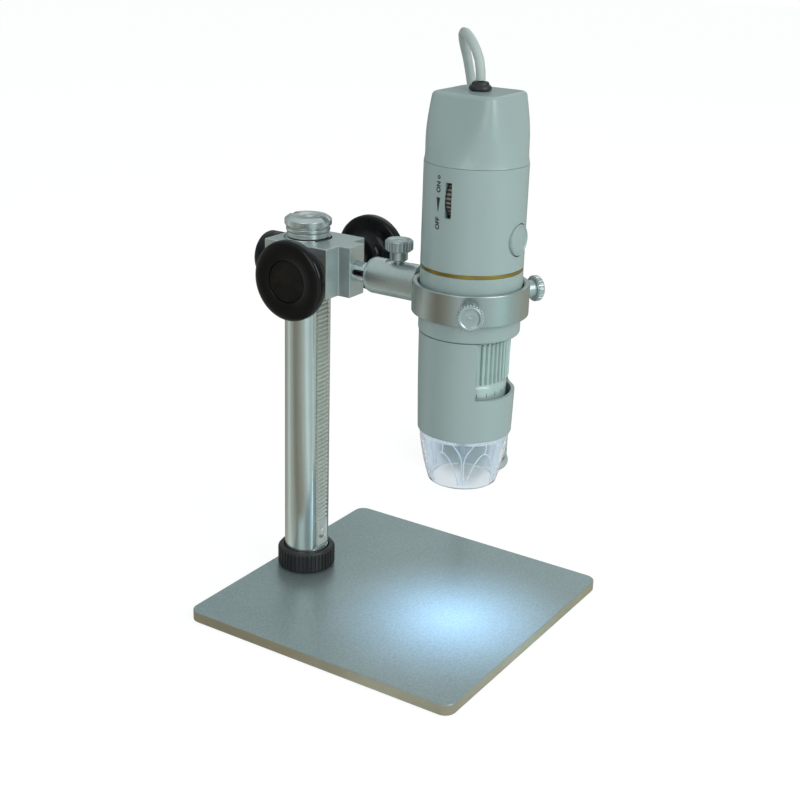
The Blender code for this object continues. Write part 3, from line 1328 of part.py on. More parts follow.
def make_coil():
    """The outer shape of the wound rest of the cable, and the tie round it."""
    inner = COIL_MEAN_RADIUS - COIL_HALF_WIDTH
    outer = COIL_MEAN_RADIUS + COIL_HALF_WIDTH
    low, high = COIL_LIFT, COIL_TOP
    ease = CABLE_DIAMETER / 3
    profile = [
        (inner, low + ease),
        (inner + ease, low),
        (outer - ease, low),
        (outer, low + ease),
        (outer, high - ease),
        (outer - ease, high),
        (inner + ease, high),
        (inner, high - ease),
    ]
    at = (*COIL_PLACE, 0)
    add("cable_coil", turned(profile, MEDIUM, closed=True), "cable_grey", "root", at)
    half_tie = TIE_WIDTH / 2
    sections = []
    for grow, y in ((0, -1), (TIE_THICKNESS, -1), (TIE_THICKNESS, 1), (0, 1)):
        low_x = inner - TIE_GAP - TIE_BOW - grow
        high_x = outer + TIE_GAP + grow
        low_z = low - TIE_GAP - grow
        high_z = high + TIE_GAP + grow
        corners = ((low_x, low_z), (high_x, low_z), (high_x, high_z), (low_x, high_z))
        sections.append([(x, y * half_tie, z) for x, z in corners])
    tie = skinned(sections, closed=True)
    add("cable_tie", tie, "black_satin", "root", at, (0, 0, math.radians(200)))


def make_plug():
    """The USB plug on top of the coil: overmould, metal shell and tongue."""
    length, width, height = PLUG_SIZE
    middle = COIL_TOP + GAP + PLUG_SHELL_SIZE[2] / 2
    at = (*COIL_PLACE, middle)
    turn = (0, 0, PLUG_HEADING)
    half = length / 2
    sections = []
    for x, grow in ((-half, -0.8 * MM), (-half + 0.8 * MM, 0), (half - 0.8 * MM, 0), (half, -0.8 * MM)):
        outline = rounded_rectangle(width + 2 * grow, height + 2 * grow, 1.8 * MM + grow / 2, 2)
        sections.append([(x, y, z) for y, z in outline])
    body = add("usb_plug", skinned(sections), "black_satin", "root", at, turn)
    relief = turned(
        [
            (0, -half - PLUG_RELIEF_LENGTH),
            (PLUG_RELIEF_RADIUS - 0.6 * MM, -half - PLUG_RELIEF_LENGTH),
            (PLUG_RELIEF_RADIUS, -half + 1 * MM),
            (0, -half + 1 * MM),
        ],
        SMALL,
    )
    carve(body, laid(relief, ALONG_X), "UNION")
    shell_length, shell_width, shell_height = PLUG_SHELL_SIZE
    shell_start = half + GAP
    low = (shell_start, -shell_width / 2, -shell_height / 2)
    high = (shell_start + shell_length, shell_width / 2, shell_height / 2)
    shell = add("usb_plug_shell", box(low, high), "chrome", "root", at, turn)
    wall = PLUG_SHELL_WALL
    cavity_low = (shell_start + 1 * MM, low[1] + wall, low[2] + wall)
    carve(shell, box(cavity_low, (high[0] + 1 * MM, high[1] - wall, high[2] - wall)))
    tongue_low = (cavity_low[0] + GAP, cavity_low[1] + GAP, cavity_low[2] + GAP)
    tongue_top = tongue_low[2] + PLUG_TONGUE_THICKNESS
    tongue_high = (high[0] - 0.6 * MM, high[1] - wall - GAP, tongue_top)
    add("usb_plug_tongue", box(tongue_low, tongue_high), "tongue_white", "root", at, turn)


def build():
    """Make every piece, from the plate upward and out along the arm."""
    make_base_plate()
    make_base_screw()
    make_column_collar()
    make_column()
    make_rack()
    make_column_cap()
    make_carriage_block()
    make_shaft_bush("shaft_bush_front", (math.pi / 2, 0, 0))
    make_shaft_bush("shaft_bush_rear", (-math.pi / 2, 0, 0))
    make_pinion_shaft()
    make_pinion_knob("front", (math.pi / 2, 0, 0))
    make_pinion_knob("rear", (-math.pi / 2, 0, 0))
    make_lock()
    make_arm_rod()
    make_clamp_socket()
    make_clamp_ring()
    make_thumb_screws()
    make_main_housing()
    make_gold_band()
    make_top_cap()
    make_cable_gland()
    make_snap_button()
    make_brightness_wheel()
    make_lower_sleeve()
    make_focus_drum()
    make_lens_barrel()
    make_boards()
    make_nose()
    make_cable()
    make_coil()
    make_plug()


clear_scene()
MATERIALS = {name: make_material(name) for name in FINISHES}
FRAMES = make_frames()
build()
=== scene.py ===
"""Looks of a hand-held digital microscope in the ring clamp of its rack stand.

Sizes are in millimetres until a piece is finished, and then it is scaled to metres.
The column stands on the left of the plate, and the arm reaches along +X.
"""

from __future__ import annotations

import logging
import math
from collections.abc import Iterable, Sequence
from dataclasses import dataclass, field
from enum import Enum
from typing import ClassVar

import bmesh
import bpy
from mathutils import Matrix, Vector

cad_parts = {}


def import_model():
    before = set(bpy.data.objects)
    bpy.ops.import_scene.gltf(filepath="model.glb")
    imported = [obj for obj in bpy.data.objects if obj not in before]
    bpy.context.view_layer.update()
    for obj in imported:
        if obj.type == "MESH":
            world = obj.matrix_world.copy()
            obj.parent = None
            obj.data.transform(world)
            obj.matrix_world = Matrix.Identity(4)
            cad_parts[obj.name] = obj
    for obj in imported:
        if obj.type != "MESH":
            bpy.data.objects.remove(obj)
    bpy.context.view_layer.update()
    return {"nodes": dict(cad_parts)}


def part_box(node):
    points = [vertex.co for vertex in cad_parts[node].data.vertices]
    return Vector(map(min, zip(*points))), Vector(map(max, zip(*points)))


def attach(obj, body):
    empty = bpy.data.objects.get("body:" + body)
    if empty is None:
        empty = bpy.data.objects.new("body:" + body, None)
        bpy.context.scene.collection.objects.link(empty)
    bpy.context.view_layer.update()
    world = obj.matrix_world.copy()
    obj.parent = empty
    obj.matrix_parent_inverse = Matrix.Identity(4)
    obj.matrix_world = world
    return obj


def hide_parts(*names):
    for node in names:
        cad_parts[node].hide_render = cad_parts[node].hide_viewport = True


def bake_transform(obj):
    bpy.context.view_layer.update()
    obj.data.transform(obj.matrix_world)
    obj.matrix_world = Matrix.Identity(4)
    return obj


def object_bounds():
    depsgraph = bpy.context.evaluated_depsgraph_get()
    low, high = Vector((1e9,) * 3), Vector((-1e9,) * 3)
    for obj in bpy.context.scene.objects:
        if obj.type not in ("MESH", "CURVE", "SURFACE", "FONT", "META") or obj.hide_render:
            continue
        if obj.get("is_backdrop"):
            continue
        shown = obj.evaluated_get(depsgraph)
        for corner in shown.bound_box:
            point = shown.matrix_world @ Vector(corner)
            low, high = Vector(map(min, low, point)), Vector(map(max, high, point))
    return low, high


MM = 0.001
FULL = 2 * math.pi
SCOPE_X = 23.425
SEAM_Z = 107.8
COLUMN_X = -41.4
ARM_Z = 119.7
PRESSURE_ANGLE = math.radians(20)
NEARLY_STRAIGHT = math.radians(152)
EASED_SHARE = 0.36
HOLD_REACH = 1.25
SMOOTH_ANGLE = 34.0
TINY = 1e-6
WHITE = (1.0, 1.0, 1.0, 1.0)
log = logging.getLogger("microscope")

Colour = tuple[float, float, float]
Point = tuple[float, float, float]
Profile = list[tuple[float, float]]
Ring = list[Point]


class Body(Enum):
    """The bodies that pieces ride on."""

    ROOT = "root"
    COLLAR = "collar"
    CARRIAGE = "carriage"
    PINION = "pinion"
    LOCK = "lock"
    ARM = "arm"
    CLAMP = "clamp"
    SOCKET_SCREW = "socket_screw"
    RING_SCREW_FRONT = "ring_screw_front"
    RING_SCREW_REAR = "ring_screw_rear"
    SCOPE = "scope"
    FOCUS = "focus"
    LENS = "lens"
    WHEEL = "wheel"
    BUTTON = "button"


class Axis(Enum):
    """Ways to lay a shape that is made along Z."""

    UP = Matrix.Identity(4)
    X = Matrix.Rotation(math.pi / 2, 4, "Y")
    MINUS_X = Matrix.Rotation(-math.pi / 2, 4, "Y")
    Y = Matrix.Rotation(-math.pi / 2, 4, "X")
    MINUS_Y = Matrix.Rotation(math.pi / 2, 4, "X")


class Cut(Enum):
    """What one shape does to another."""

    REMOVE = "DIFFERENCE"
    JOIN = "UNION"


class Tree:
    """A node tree under construction."""

    def __init__(self, name: str, kind: str) -> None:
        """Start an empty tree.

        Args:
            name: The tree's name.
            kind: Blender's type of node group.
        """
        self.tree = bpy.data.node_groups.new(name, kind)
        self.inlet = self.tree.nodes.new("NodeGroupInput")
        self.outlet = self.tree.nodes.new("NodeGroupOutput")

    def socket(self, name: str, kind: str, out: bool = False, value: object = None) -> str:
        """Add an input or output.

        Args:
            name: The socket's name.
            kind: The socket's type without its common prefix.
            out: True for an output.
            value: The default value, or None.

        Returns:
            The socket's identifier.
        """
        way = "OUTPUT" if out else "INPUT"
        item = self.tree.interface.new_socket(name, in_out=way, socket_type="NodeSocket" + kind)
        if value is not None:
            item.default_value = value
        return item.identifier

    def node(self, kind: str, feeds: dict[str, object] | None = None, **values: object) -> bpy.types.Node:
        """Add a node.

        Args:
            kind: The node's type.
            feeds: Sockets or plain values for the node's inputs, by name.
            values: Properties of the node.

        Returns:
            The new node.
        """
        return add_node(self.tree, kind, feeds, **values)

    def hand_out(self, geometry: bpy.types.NodeSocket) -> None:
        """Make a geometry real, give it the tree's material and put it out."""
        real = self.node("GeometryNodeRealizeInstances", {0: geometry}).outputs[0]
        feeds = {"Geometry": real, "Material": self.inlet.outputs["Material"]}
        painted = self.node("GeometryNodeSetMaterial", feeds)
        self.tree.links.new(painted.outputs[0], self.outlet.inputs[0])


def add_node(
    tree: bpy.types.NodeTree, kind: str, feeds: dict[object, object] | None = None, **values: object
) -> bpy.types.Node:
    """Add a node to a tree and feed its inputs.

    Args:
        tree: The tree it goes in.
        kind: The node's type.
        feeds: Sockets or plain values for its inputs, by name or number.
        values: Properties of the node.

    Returns:
        The new node.
    """
    node = tree.nodes.new(kind)
    for name, value in values.items():
        setattr(node, name, value)
    for name, value in (feeds or {}).items():
        if isinstance(value, bpy.types.NodeSocket):
            tree.links.new(value, node.inputs[name])
        else:
            node.inputs[name].default_value = value
    return node


def add_object(name: str, data: bpy.types.ID) -> bpy.types.Object:
    """A new object in the scene."""
    obj = bpy.data.objects.new(name, data)
    bpy.context.scene.collection.objects.link(obj)
    return obj


def made_mesh(obj: bpy.types.Object) -> bpy.types.Mesh:
    """A new mesh of what an object's modifiers or outlines make."""
    graph = bpy.context.evaluated_depsgraph_get()
    return bpy.data.meshes.new_from_object(obj.evaluated_get(graph))


def mixed(tree: bpy.types.NodeTree, share: object, under: object, over: object,
          **values: object) -> bpy.types.NodeSocket:
    """Mix two colours.

    Args:
        tree: The tree that the node goes in.
        share: How much of the second colour shows, a socket or a number.
        under: The first colour.
        over: The second colour.
        values: Properties of the node.

    Returns:
        The mixed colour's socket.
    """
    feeds = {"Factor": share, "A": under, "B": over}
    return add_node(tree, "ShaderNodeMix", feeds, data_type="RGBA", **values).outputs["Result"]


def fill_ramp(ramp: bpy.types.ColorRamp, stops: Iterable[tuple[float, Colour]]) -> None:
    """Give a colour ramp its stops.

    Args:
        ramp: The ramp, which starts with two stops.
        stops: Place and colour of each stop, in order.
    """
    rows = list(stops)
    while len(ramp.elements) < len(rows):
        ramp.elements.new(0.5)
    for element, (spot, colour) in zip(ramp.elements, rows):
        element.position = spot
        element.color = (*colour, 1.0)


class Effects:
    """Shader effects that several finishes use, each built once as a node group."""

    _made: dict[str, bpy.types.NodeTree] = {}

    @classmethod
    def patches(cls) -> bpy.types.NodeTree:
        """Slow cloudy change over a surface, from handling and uneven coating, and painted reflection on the
        knob discs.
        """
        if "patches" not in cls._made:
            group = Tree("patches", "ShaderNodeTree")
            group.socket("Vector", "Vector")
            group.socket("Scale", "Float", value=60.0)
            group.socket("Contrast", "Float", value=0.5)
            group.socket("Mask", "Float", out=True)
            feeds = {"Vector": group.inlet.outputs["Vector"], "Scale": group.inlet.outputs["Scale"]}
            cloud = group.node("ShaderNodeTexNoise", {**feeds, "Detail": 4.0, "Roughness": 0.6})
            spread = group.node("ShaderNodeMath", {0: cloud.outputs["Fac"], 1: -0.5}, operation="ADD")
            feeds = {0: spread.outputs[0], 1: group.inlet.outputs["Contrast"], 2: 0.5}
            scaled = group.node("ShaderNodeMath", feeds, operation="MULTIPLY_ADD", use_clamp=True)
            group.tree.links.new(scaled.outputs[0], group.outlet.inputs["Mask"])
            cls._made["patches"] = group.tree
        return cls._made["patches"]

    @classmethod
    def grain(cls) -> bpy.types.NodeTree:
        """Fine texture, which streaks where its scale differs along the axes."""
        if "grain" not in cls._made:
            group = Tree("grain", "ShaderNodeTree")
            group.socket("Vector", "Vector")
            group.socket("Fineness", "Vector", value=even(900.0))
            group.socket("Height", "Float", out=True)
            group.socket("Fleck", "Float", out=True)
            feeds = {0: group.inlet.outputs["Vector"], 1: group.inlet.outputs["Fineness"]}
            stretched = group.node("ShaderNodeVectorMath", feeds, operation="MULTIPLY").outputs[0]
            feeds = {"Vector": stretched, "Scale": 1.0, "Detail": 3.0, "Roughness": 0.55}
            fine = group.node("ShaderNodeTexNoise", feeds)
            feeds = {"Value": fine.outputs["Fac"], "From Min": 0.35, "From Max": 0.68}
            fleck = group.node("ShaderNodeMapRange", feeds)
            group.tree.links.new(fine.outputs["Fac"], group.outlet.inputs["Height"])
            group.tree.links.new(fleck.outputs["Result"], group.outlet.inputs["Fleck"])
            cls._made["grain"] = group.tree
        return cls._made["grain"]


def even(value: float) -> Point:
    """The same fineness along all three axes."""
    return (value, value, value)


@dataclass(frozen=True)
class Finish:
    """A surface finish. Its material is built when it is first asked for."""

    COAT_ROUGHNESS: ClassVar[float] = 0.08
    BUMP_STRENGTH: ClassVar[float] = 0.6
    FLECK_SHADE: ClassVar[tuple[float, ...]] = (0.35, 0.35, 0.35, 1.0)

    name: str
    slot: str
    colour: Colour
    drift: Colour
    metallic: float = 0.0
    roughness: float = 0.4
    smudge: float = 0.06
    patch_scale: float = 70.0
    contrast: float = 1.4
    fineness: Point = even(900.0)
    fleck: float = 0.0
    relief: float = 0.01
    specular: float = 0.5
    coat: float = 0.0
    clear: float = 0.0
    ior: float = 1.5
    glow: float = 0.0
    glow_colour: Colour = (1.0, 1.0, 1.0)

    def material(self) -> bpy.types.Material:
        """The finish's material, built from its own numbers and the shared effects."""
        known = bpy.data.materials.get(self.name)
        if known is not None:
            return known
        material = bpy.data.materials.new(self.name)
        material.use_nodes = True
        tree = material.node_tree
        shader = tree.nodes["Principled BSDF"]
        plain = {
            "Metallic": self.metallic,
            "Specular IOR Level": self.specular,
            "Coat Weight": self.coat,
            "Coat Roughness": self.COAT_ROUGHNESS,
            "Transmission Weight": self.clear,
            "IOR": self.ior,
            "Emission Color": (*self.glow_colour, 1.0),
            "Emission Strength": self.glow,
        }
        for name, value in plain.items():
            shader.inputs[name].default_value = value
        place = add_node(tree, "ShaderNodeTexCoord").outputs["Object"]
        feeds = {"Vector": place, "Scale": self.patch_scale, "Contrast": self.contrast}
        patches = add_node(tree, "ShaderNodeGroup", feeds, node_tree=Effects.patches())
        feeds = {"Vector": place, "Fineness": self.fineness}
        grain = add_node(tree, "ShaderNodeGroup", feeds, node_tree=Effects.grain())
        base = mixed(tree, patches.outputs["Mask"], (*self.colour, 1.0), (*self.drift, 1.0))
        feeds = {0: grain.outputs["Fleck"], 1: self.fleck}
        amount = add_node(tree, "ShaderNodeMath", feeds, operation="MULTIPLY").outputs[0]
        flecked = mixed(tree, amount, base, self.FLECK_SHADE, blend_type="MULTIPLY")
        tree.links.new(flecked, shader.inputs["Base Color"])
        low, high = self.roughness - self.smudge, self.roughness + self.smudge
        feeds = {"Value": patches.outputs["Mask"], "To Min": low, "To Max": high}
        rough = add_node(tree, "ShaderNodeMapRange", feeds)
        tree.links.new(rough.outputs["Result"], shader.inputs["Roughness"])
        feeds = {
            "Height": grain.outputs["Height"],
            "Strength": self.BUMP_STRENGTH,
            "Distance": self.relief * MM,
        }
        bump = add_node(tree, "ShaderNodeBump", feeds)
        tree.links.new(bump.outputs["Normal"], shader.inputs["Normal"])
        return material


PAINT = Finish(
    "housing_satin_paint", "housing_paint", (0.275, 0.355, 0.350), (0.290, 0.370, 0.362),
    roughness=0.34, coat=0.35, fineness=even(1500.0), relief=0.004,
)
PRINT = Finish("black_print", "black_satin", (0.012, 0.013, 0.014), (0.02, 0.02, 0.02), roughness=0.5)
MARK_BROWN = Finish("brown_print", "black_satin", (0.10, 0.08, 0.06), (0.15, 0.13, 0.10), roughness=0.5)
GOLD = Finish(
    "gold_line", "gold_line", (0.34, 0.20, 0.045), (0.24, 0.14, 0.03), metallic=0.5,
    roughness=0.30, fineness=(200.0, 200.0, 3000.0),
)
SATIN = Finish(
    "satin_aluminium", "aluminium", (0.56, 0.61, 0.61), (0.50, 0.55, 0.54), metallic=1.0,
    roughness=0.30, smudge=0.04, fineness=even(1800.0), fleck=0.12, relief=0.012,
)
ZINC = Finish(
    "block_satin_zinc", "aluminium", (0.64, 0.72, 0.72), (0.56, 0.63, 0.62), metallic=0.8,
    roughness=0.30, smudge=0.05, fineness=even(1500.0), fleck=0.15, relief=0.012,
)
HEAD = Finish(
    "thumb_head_satin", "aluminium", (0.52, 0.59, 0.60), (0.45, 0.51, 0.51), metallic=0.85,
    roughness=0.30, smudge=0.05, fineness=(300.0, 300.0, 4200.0), fleck=0.10, relief=0.008,
)
TURNED = Finish(
    "turned_aluminium", "aluminium", (0.66, 0.72, 0.72), (0.58, 0.64, 0.63), metallic=0.75,
    roughness=0.28, smudge=0.04, fineness=(300.0, 300.0, 4200.0), fleck=0.10, relief=0.008,
)
COLUMN_STEEL = Finish(
    "column_satin_chrome", "column_steel", (0.74, 0.80, 0.78), (0.66, 0.72, 0.70), metallic=0.95,
    roughness=0.18, smudge=0.04, fineness=(2400.0, 2400.0, 60.0), fleck=0.10, relief=0.008,
)
RACK_STEEL = Finish(
    "cut_rack_steel", "column_steel", (0.72, 0.76, 0.72), (0.62, 0.65, 0.60), metallic=0.45,
    roughness=0.36, fineness=(1500.0, 400.0, 1500.0), fleck=0.15, relief=0.01,
)
CHROME = Finish(
    "polished_chrome", "chrome", (0.72, 0.76, 0.76), (0.68, 0.72, 0.72), metallic=1.0,
    roughness=0.08, smudge=0.03, relief=0.001,
)
PLATE_TOP = Finish(
    "plate_satin_nickel", "satin_plate", (0.40, 0.48, 0.49), (0.35, 0.42, 0.43),
    metallic=0.70, roughness=0.36, smudge=0.03, patch_scale=22.0,
    fineness=even(1300.0), fleck=0.32, relief=0.02,
)
PLATE_EDGE = Finish(
    "plate_bare_edge", "satin_plate", (0.44, 0.40, 0.29), (0.38, 0.34, 0.25), metallic=0.55,
    roughness=0.42, fineness=(300.0, 300.0, 2600.0), fleck=0.15, relief=0.012,
)
# Painted shade: the bushes are coloured near black because they sit in the knobs' shadow against the block.
BUSH_PAINTED_SHADE = Finish(
    "oiled_bronze", "brass", (0.055, 0.045, 0.032), (0.09, 0.07, 0.045), metallic=0.6, roughness=0.42,
)
BRASS = Finish("turned_brass", "brass", (0.62, 0.45, 0.16), (0.5, 0.36, 0.13), metallic=1.0, roughness=0.28)
SCREW = Finish(
    "screw_steel_plain", "screw_steel", (0.50, 0.52, 0.52), (0.42, 0.43, 0.43), metallic=1.0,
    roughness=0.28, fineness=(600.0, 600.0, 2500.0), fleck=0.15,
)
GLOSS_BLACK = Finish(
    "knob_gloss_black", "black_gloss", (0.003, 0.003, 0.0035), (0.005, 0.005, 0.0055),
    roughness=0.15, smudge=0.04, specular=0.3, relief=0.002,
)
# Painted reflection: the knob discs' dim brownish blotches stand in for the room reflected in the dark disc.
DISC_BLACK_PAINTED_REFLECTION = Finish(
    "knob_disc_black", "black_satin", (0.003, 0.003, 0.003), (0.010, 0.009, 0.007),
    roughness=0.24, smudge=0.08, patch_scale=120.0, contrast=3.0, specular=0.25, relief=0.003,
)
WHEEL_TAN = Finish(
    "wheel_grey_plastic", "black_satin", (0.20, 0.18, 0.15), (0.28, 0.26, 0.22), roughness=0.45,
)
SOFT_BLACK = Finish(
    "ribbed_soft_black", "black_satin", (0.014, 0.014, 0.015), (0.020, 0.020, 0.021),
    roughness=0.42, relief=0.01,
)
DRUM_SILVER = Finish(
    "drum_silver_plastic", "drum_grey", (0.48, 0.60, 0.57), (0.40, 0.51, 0.49), metallic=0.3,
    roughness=0.20, coat=0.7, relief=0.004,
)
CLEAR = Finish(
    "clear_nose_plastic", "clear_plastic", (0.98, 0.99, 1.0), (0.94, 0.97, 1.0), roughness=0.06,
    smudge=0.02, clear=1.0, ior=1.3, relief=0.003,
)
FROST = Finish(
    "frosted_nose_bore", "clear_plastic", (0.74, 0.83, 0.90), (0.66, 0.76, 0.85), roughness=0.20,
    smudge=0.05, clear=0.95, ior=1.3, relief=0.004,
)
# Painted light: the light guides' faint emission stands in for glints of LED light along their edges.
GUIDE_PAINTED_GLOW = Finish(
    "moulded_light_guide", "clear_plastic", (0.82, 0.90, 0.96), (0.74, 0.84, 0.92), roughness=0.25,
    clear=0.3, ior=1.45, glow=0.12, glow_colour=(0.80, 0.92, 1.0),
)
GLASS = Finish(
    "lens_glass_coated", "lens_glass", (0.80, 0.86, 0.96), (0.7, 0.8, 0.95), roughness=0.03,
    smudge=0.01, clear=1.0, ior=1.5,
)
BOARD = Finish(
    "board_green_mask", "board_green", (0.02, 0.13, 0.07), (0.03, 0.17, 0.09), roughness=0.35,
    patch_scale=400.0, contrast=4.0, coat=0.3,
)
LED = Finish(
    "led_dome_lit", "clear_plastic", (0.85, 0.9, 1.0), (0.8, 0.88, 1.0), roughness=0.2,
    glow=6.0, glow_colour=(0.78, 0.87, 1.0),
)
CABLE_SKIN = Finish(
    "cable_grey_sheath", "cable_grey", (0.36, 0.42, 0.40), (0.41, 0.47, 0.45), roughness=0.42,
    fineness=even(700.0), relief=0.01,
)
WHITE_PLASTIC = Finish("tongue_white_plastic", "tongue_white", (0.75, 0.75, 0.73), (0.7, 0.7, 0.68))


def lathe(profile: Profile, steps: int = 96, closed: bool = False) -> bmesh.types.BMesh:
    """Turn a profile round Z.

    Args:
        profile: Radius and height of each point, from below upward on the outside.
        steps: Facets round the axis.
        closed: True where the profile is a loop that doesn't touch the axis.

    Returns:
        The turned shape.
    """
    shape = bmesh.new()
    rings = []
    for radius, height in profile:
        if radius < TINY:
            rings.append([shape.verts.new((0, 0, height))])
            continue
        angles = [FULL * k / steps for k in range(steps)]
        rings.append([shape.verts.new((radius * math.cos(a), radius * math.sin(a), height)) for a in angles])
    pairs = list(zip(rings, rings[1:] + rings[:1])) if closed else list(zip(rings, rings[1:]))
    for low, high in pairs:
        for k in range(steps):
            m = (k + 1) % steps
            if len(low) == 1 and len(high) == 1:
                continue
            if len(low) == 1:
                shape.faces.new((low[0], high[m], high[k]))
            elif len(high) == 1:
                shape.faces.new((low[k], low[m], high[0]))
            else:
                shape.faces.new((low[k], low[m], high[m], high[k]))
    if not closed:
        for ring, turn in ((rings[0], -1), (rings[-1], 1)):
            if len(ring) > 1:
                shape.faces.new(ring[::turn])
    bmesh.ops.recalc_face_normals(shape, faces=shape.faces)
    return shape


def loft(sections: Sequence[Ring], closed: bool = False) -> bmesh.types.BMesh:
    """Skin a row of outlines that have as many points each.

    Args:
        sections: The outlines, in order.
        closed: True where the last is joined to the first.

    Returns:
        The skinned shape.
    """
    shape = bmesh.new()
    rings = [[shape.verts.new(point) for point in section] for section in sections]
    pairs = list(zip(rings, rings[1:] + rings[:1])) if closed else list(zip(rings, rings[1:]))
    for low, high in pairs:
        count = len(low)
        for k in range(count):
            m = (k + 1) % count
            shape.faces.new((low[k], low[m], high[m], high[k]))
    if not closed:
        shape.faces.new(rings[0][::-1])
        shape.faces.new(rings[-1])
    bmesh.ops.recalc_face_normals(shape, faces=shape.faces)
    return shape


def prism(outline: Sequence[tuple[float, float]], low: float, high: float) -> bmesh.types.BMesh:
    """An outline in X and Y carried from one height to another."""
    return loft([[(x, y, z) for x, y in outline] for z in (low, high)])


def block(low: Sequence[float], high: Sequence[float]) -> bmesh.types.BMesh:
    """A box between two corners."""
    outline = [(low[0], low[1]), (high[0], low[1]), (high[0], high[1]), (low[0], high[1])]
    return prism(outline, low[2], high[2])


def bar(radius: float, low: float, high: float, steps: int = 48) -> bmesh.types.BMesh:
    """A round bar along Z."""
    return lathe([(radius, low), (radius, high)], steps)


def eased(profile: Profile, radius: float, steps: int = 4, closed: bool = False) -> Profile:
    """Round a profile's sharp corners, with a point close to each arc to hold the shading.

    Args:
        profile: The profile's points.
        radius: How far from its corner each arc starts.
        steps: Segments in each arc.
        closed: True where the profile is a loop.

    Returns:
        The eased profile.
    """
    points = [Vector(point) for point in profile]
    count = len(points)
    out: list[Vector] = []
    for k, here in enumerate(points):
        if not closed and k in (0, count - 1):
            out.append(here)
            continue
        back = points[k - 1] - here
        ahead = points[(k + 1) % count] - here
        if back.length < TINY or ahead.length < TINY or back.angle(ahead) > NEARLY_STRAIGHT:
            out.append(here)
            continue
        reach = min(radius, EASED_SHARE * back.length, EASED_SHARE * ahead.length)
        start = here + back.normalized() * reach
        end = here + ahead.normalized() * reach
        out.append(here + back.normalized() * reach * HOLD_REACH)
        for n in range(steps + 1):
            t = n / steps
            out.append(start * (1 - t) ** 2 + here * 2 * t * (1 - t) + end * t * t)
        out.append(here + ahead.normalized() * reach * HOLD_REACH)
    return [(point.x, point.y) for point in out]


def rounded_rectangle(width: float, depth: float, radius: float, steps: int = 8) -> list[tuple[float, float]]:
    """An outline about the origin with round corners."""
    outline = []
    for quarter, (sx, sy) in enumerate(((1, 1), (-1, 1), (-1, -1), (1, -1))):
        cx = sx * (width / 2 - radius)
        cy = sy * (depth / 2 - radius)
        for k in range(steps + 1):
            angle = (quarter + k / steps) * math.pi / 2
            outline.append((cx + radius * math.cos(angle), cy + radius * math.sin(angle)))
    return outline


def laid(shape: bmesh.types.BMesh, axis: Axis | Matrix, at: Sequence[float] = (0, 0, 0)) -> bmesh.types.BMesh:
    """Turn a shape onto an axis and carry it to a place."""
    turn = axis.value if isinstance(axis, Axis) else axis
    shape.transform(Matrix.Translation(Vector(at)) @ turn)
    return shape


def round_z(angle: float) -> Matrix:
    """A turn about Z, in radians."""
    return Matrix.Rotation(angle, 4, "Z")


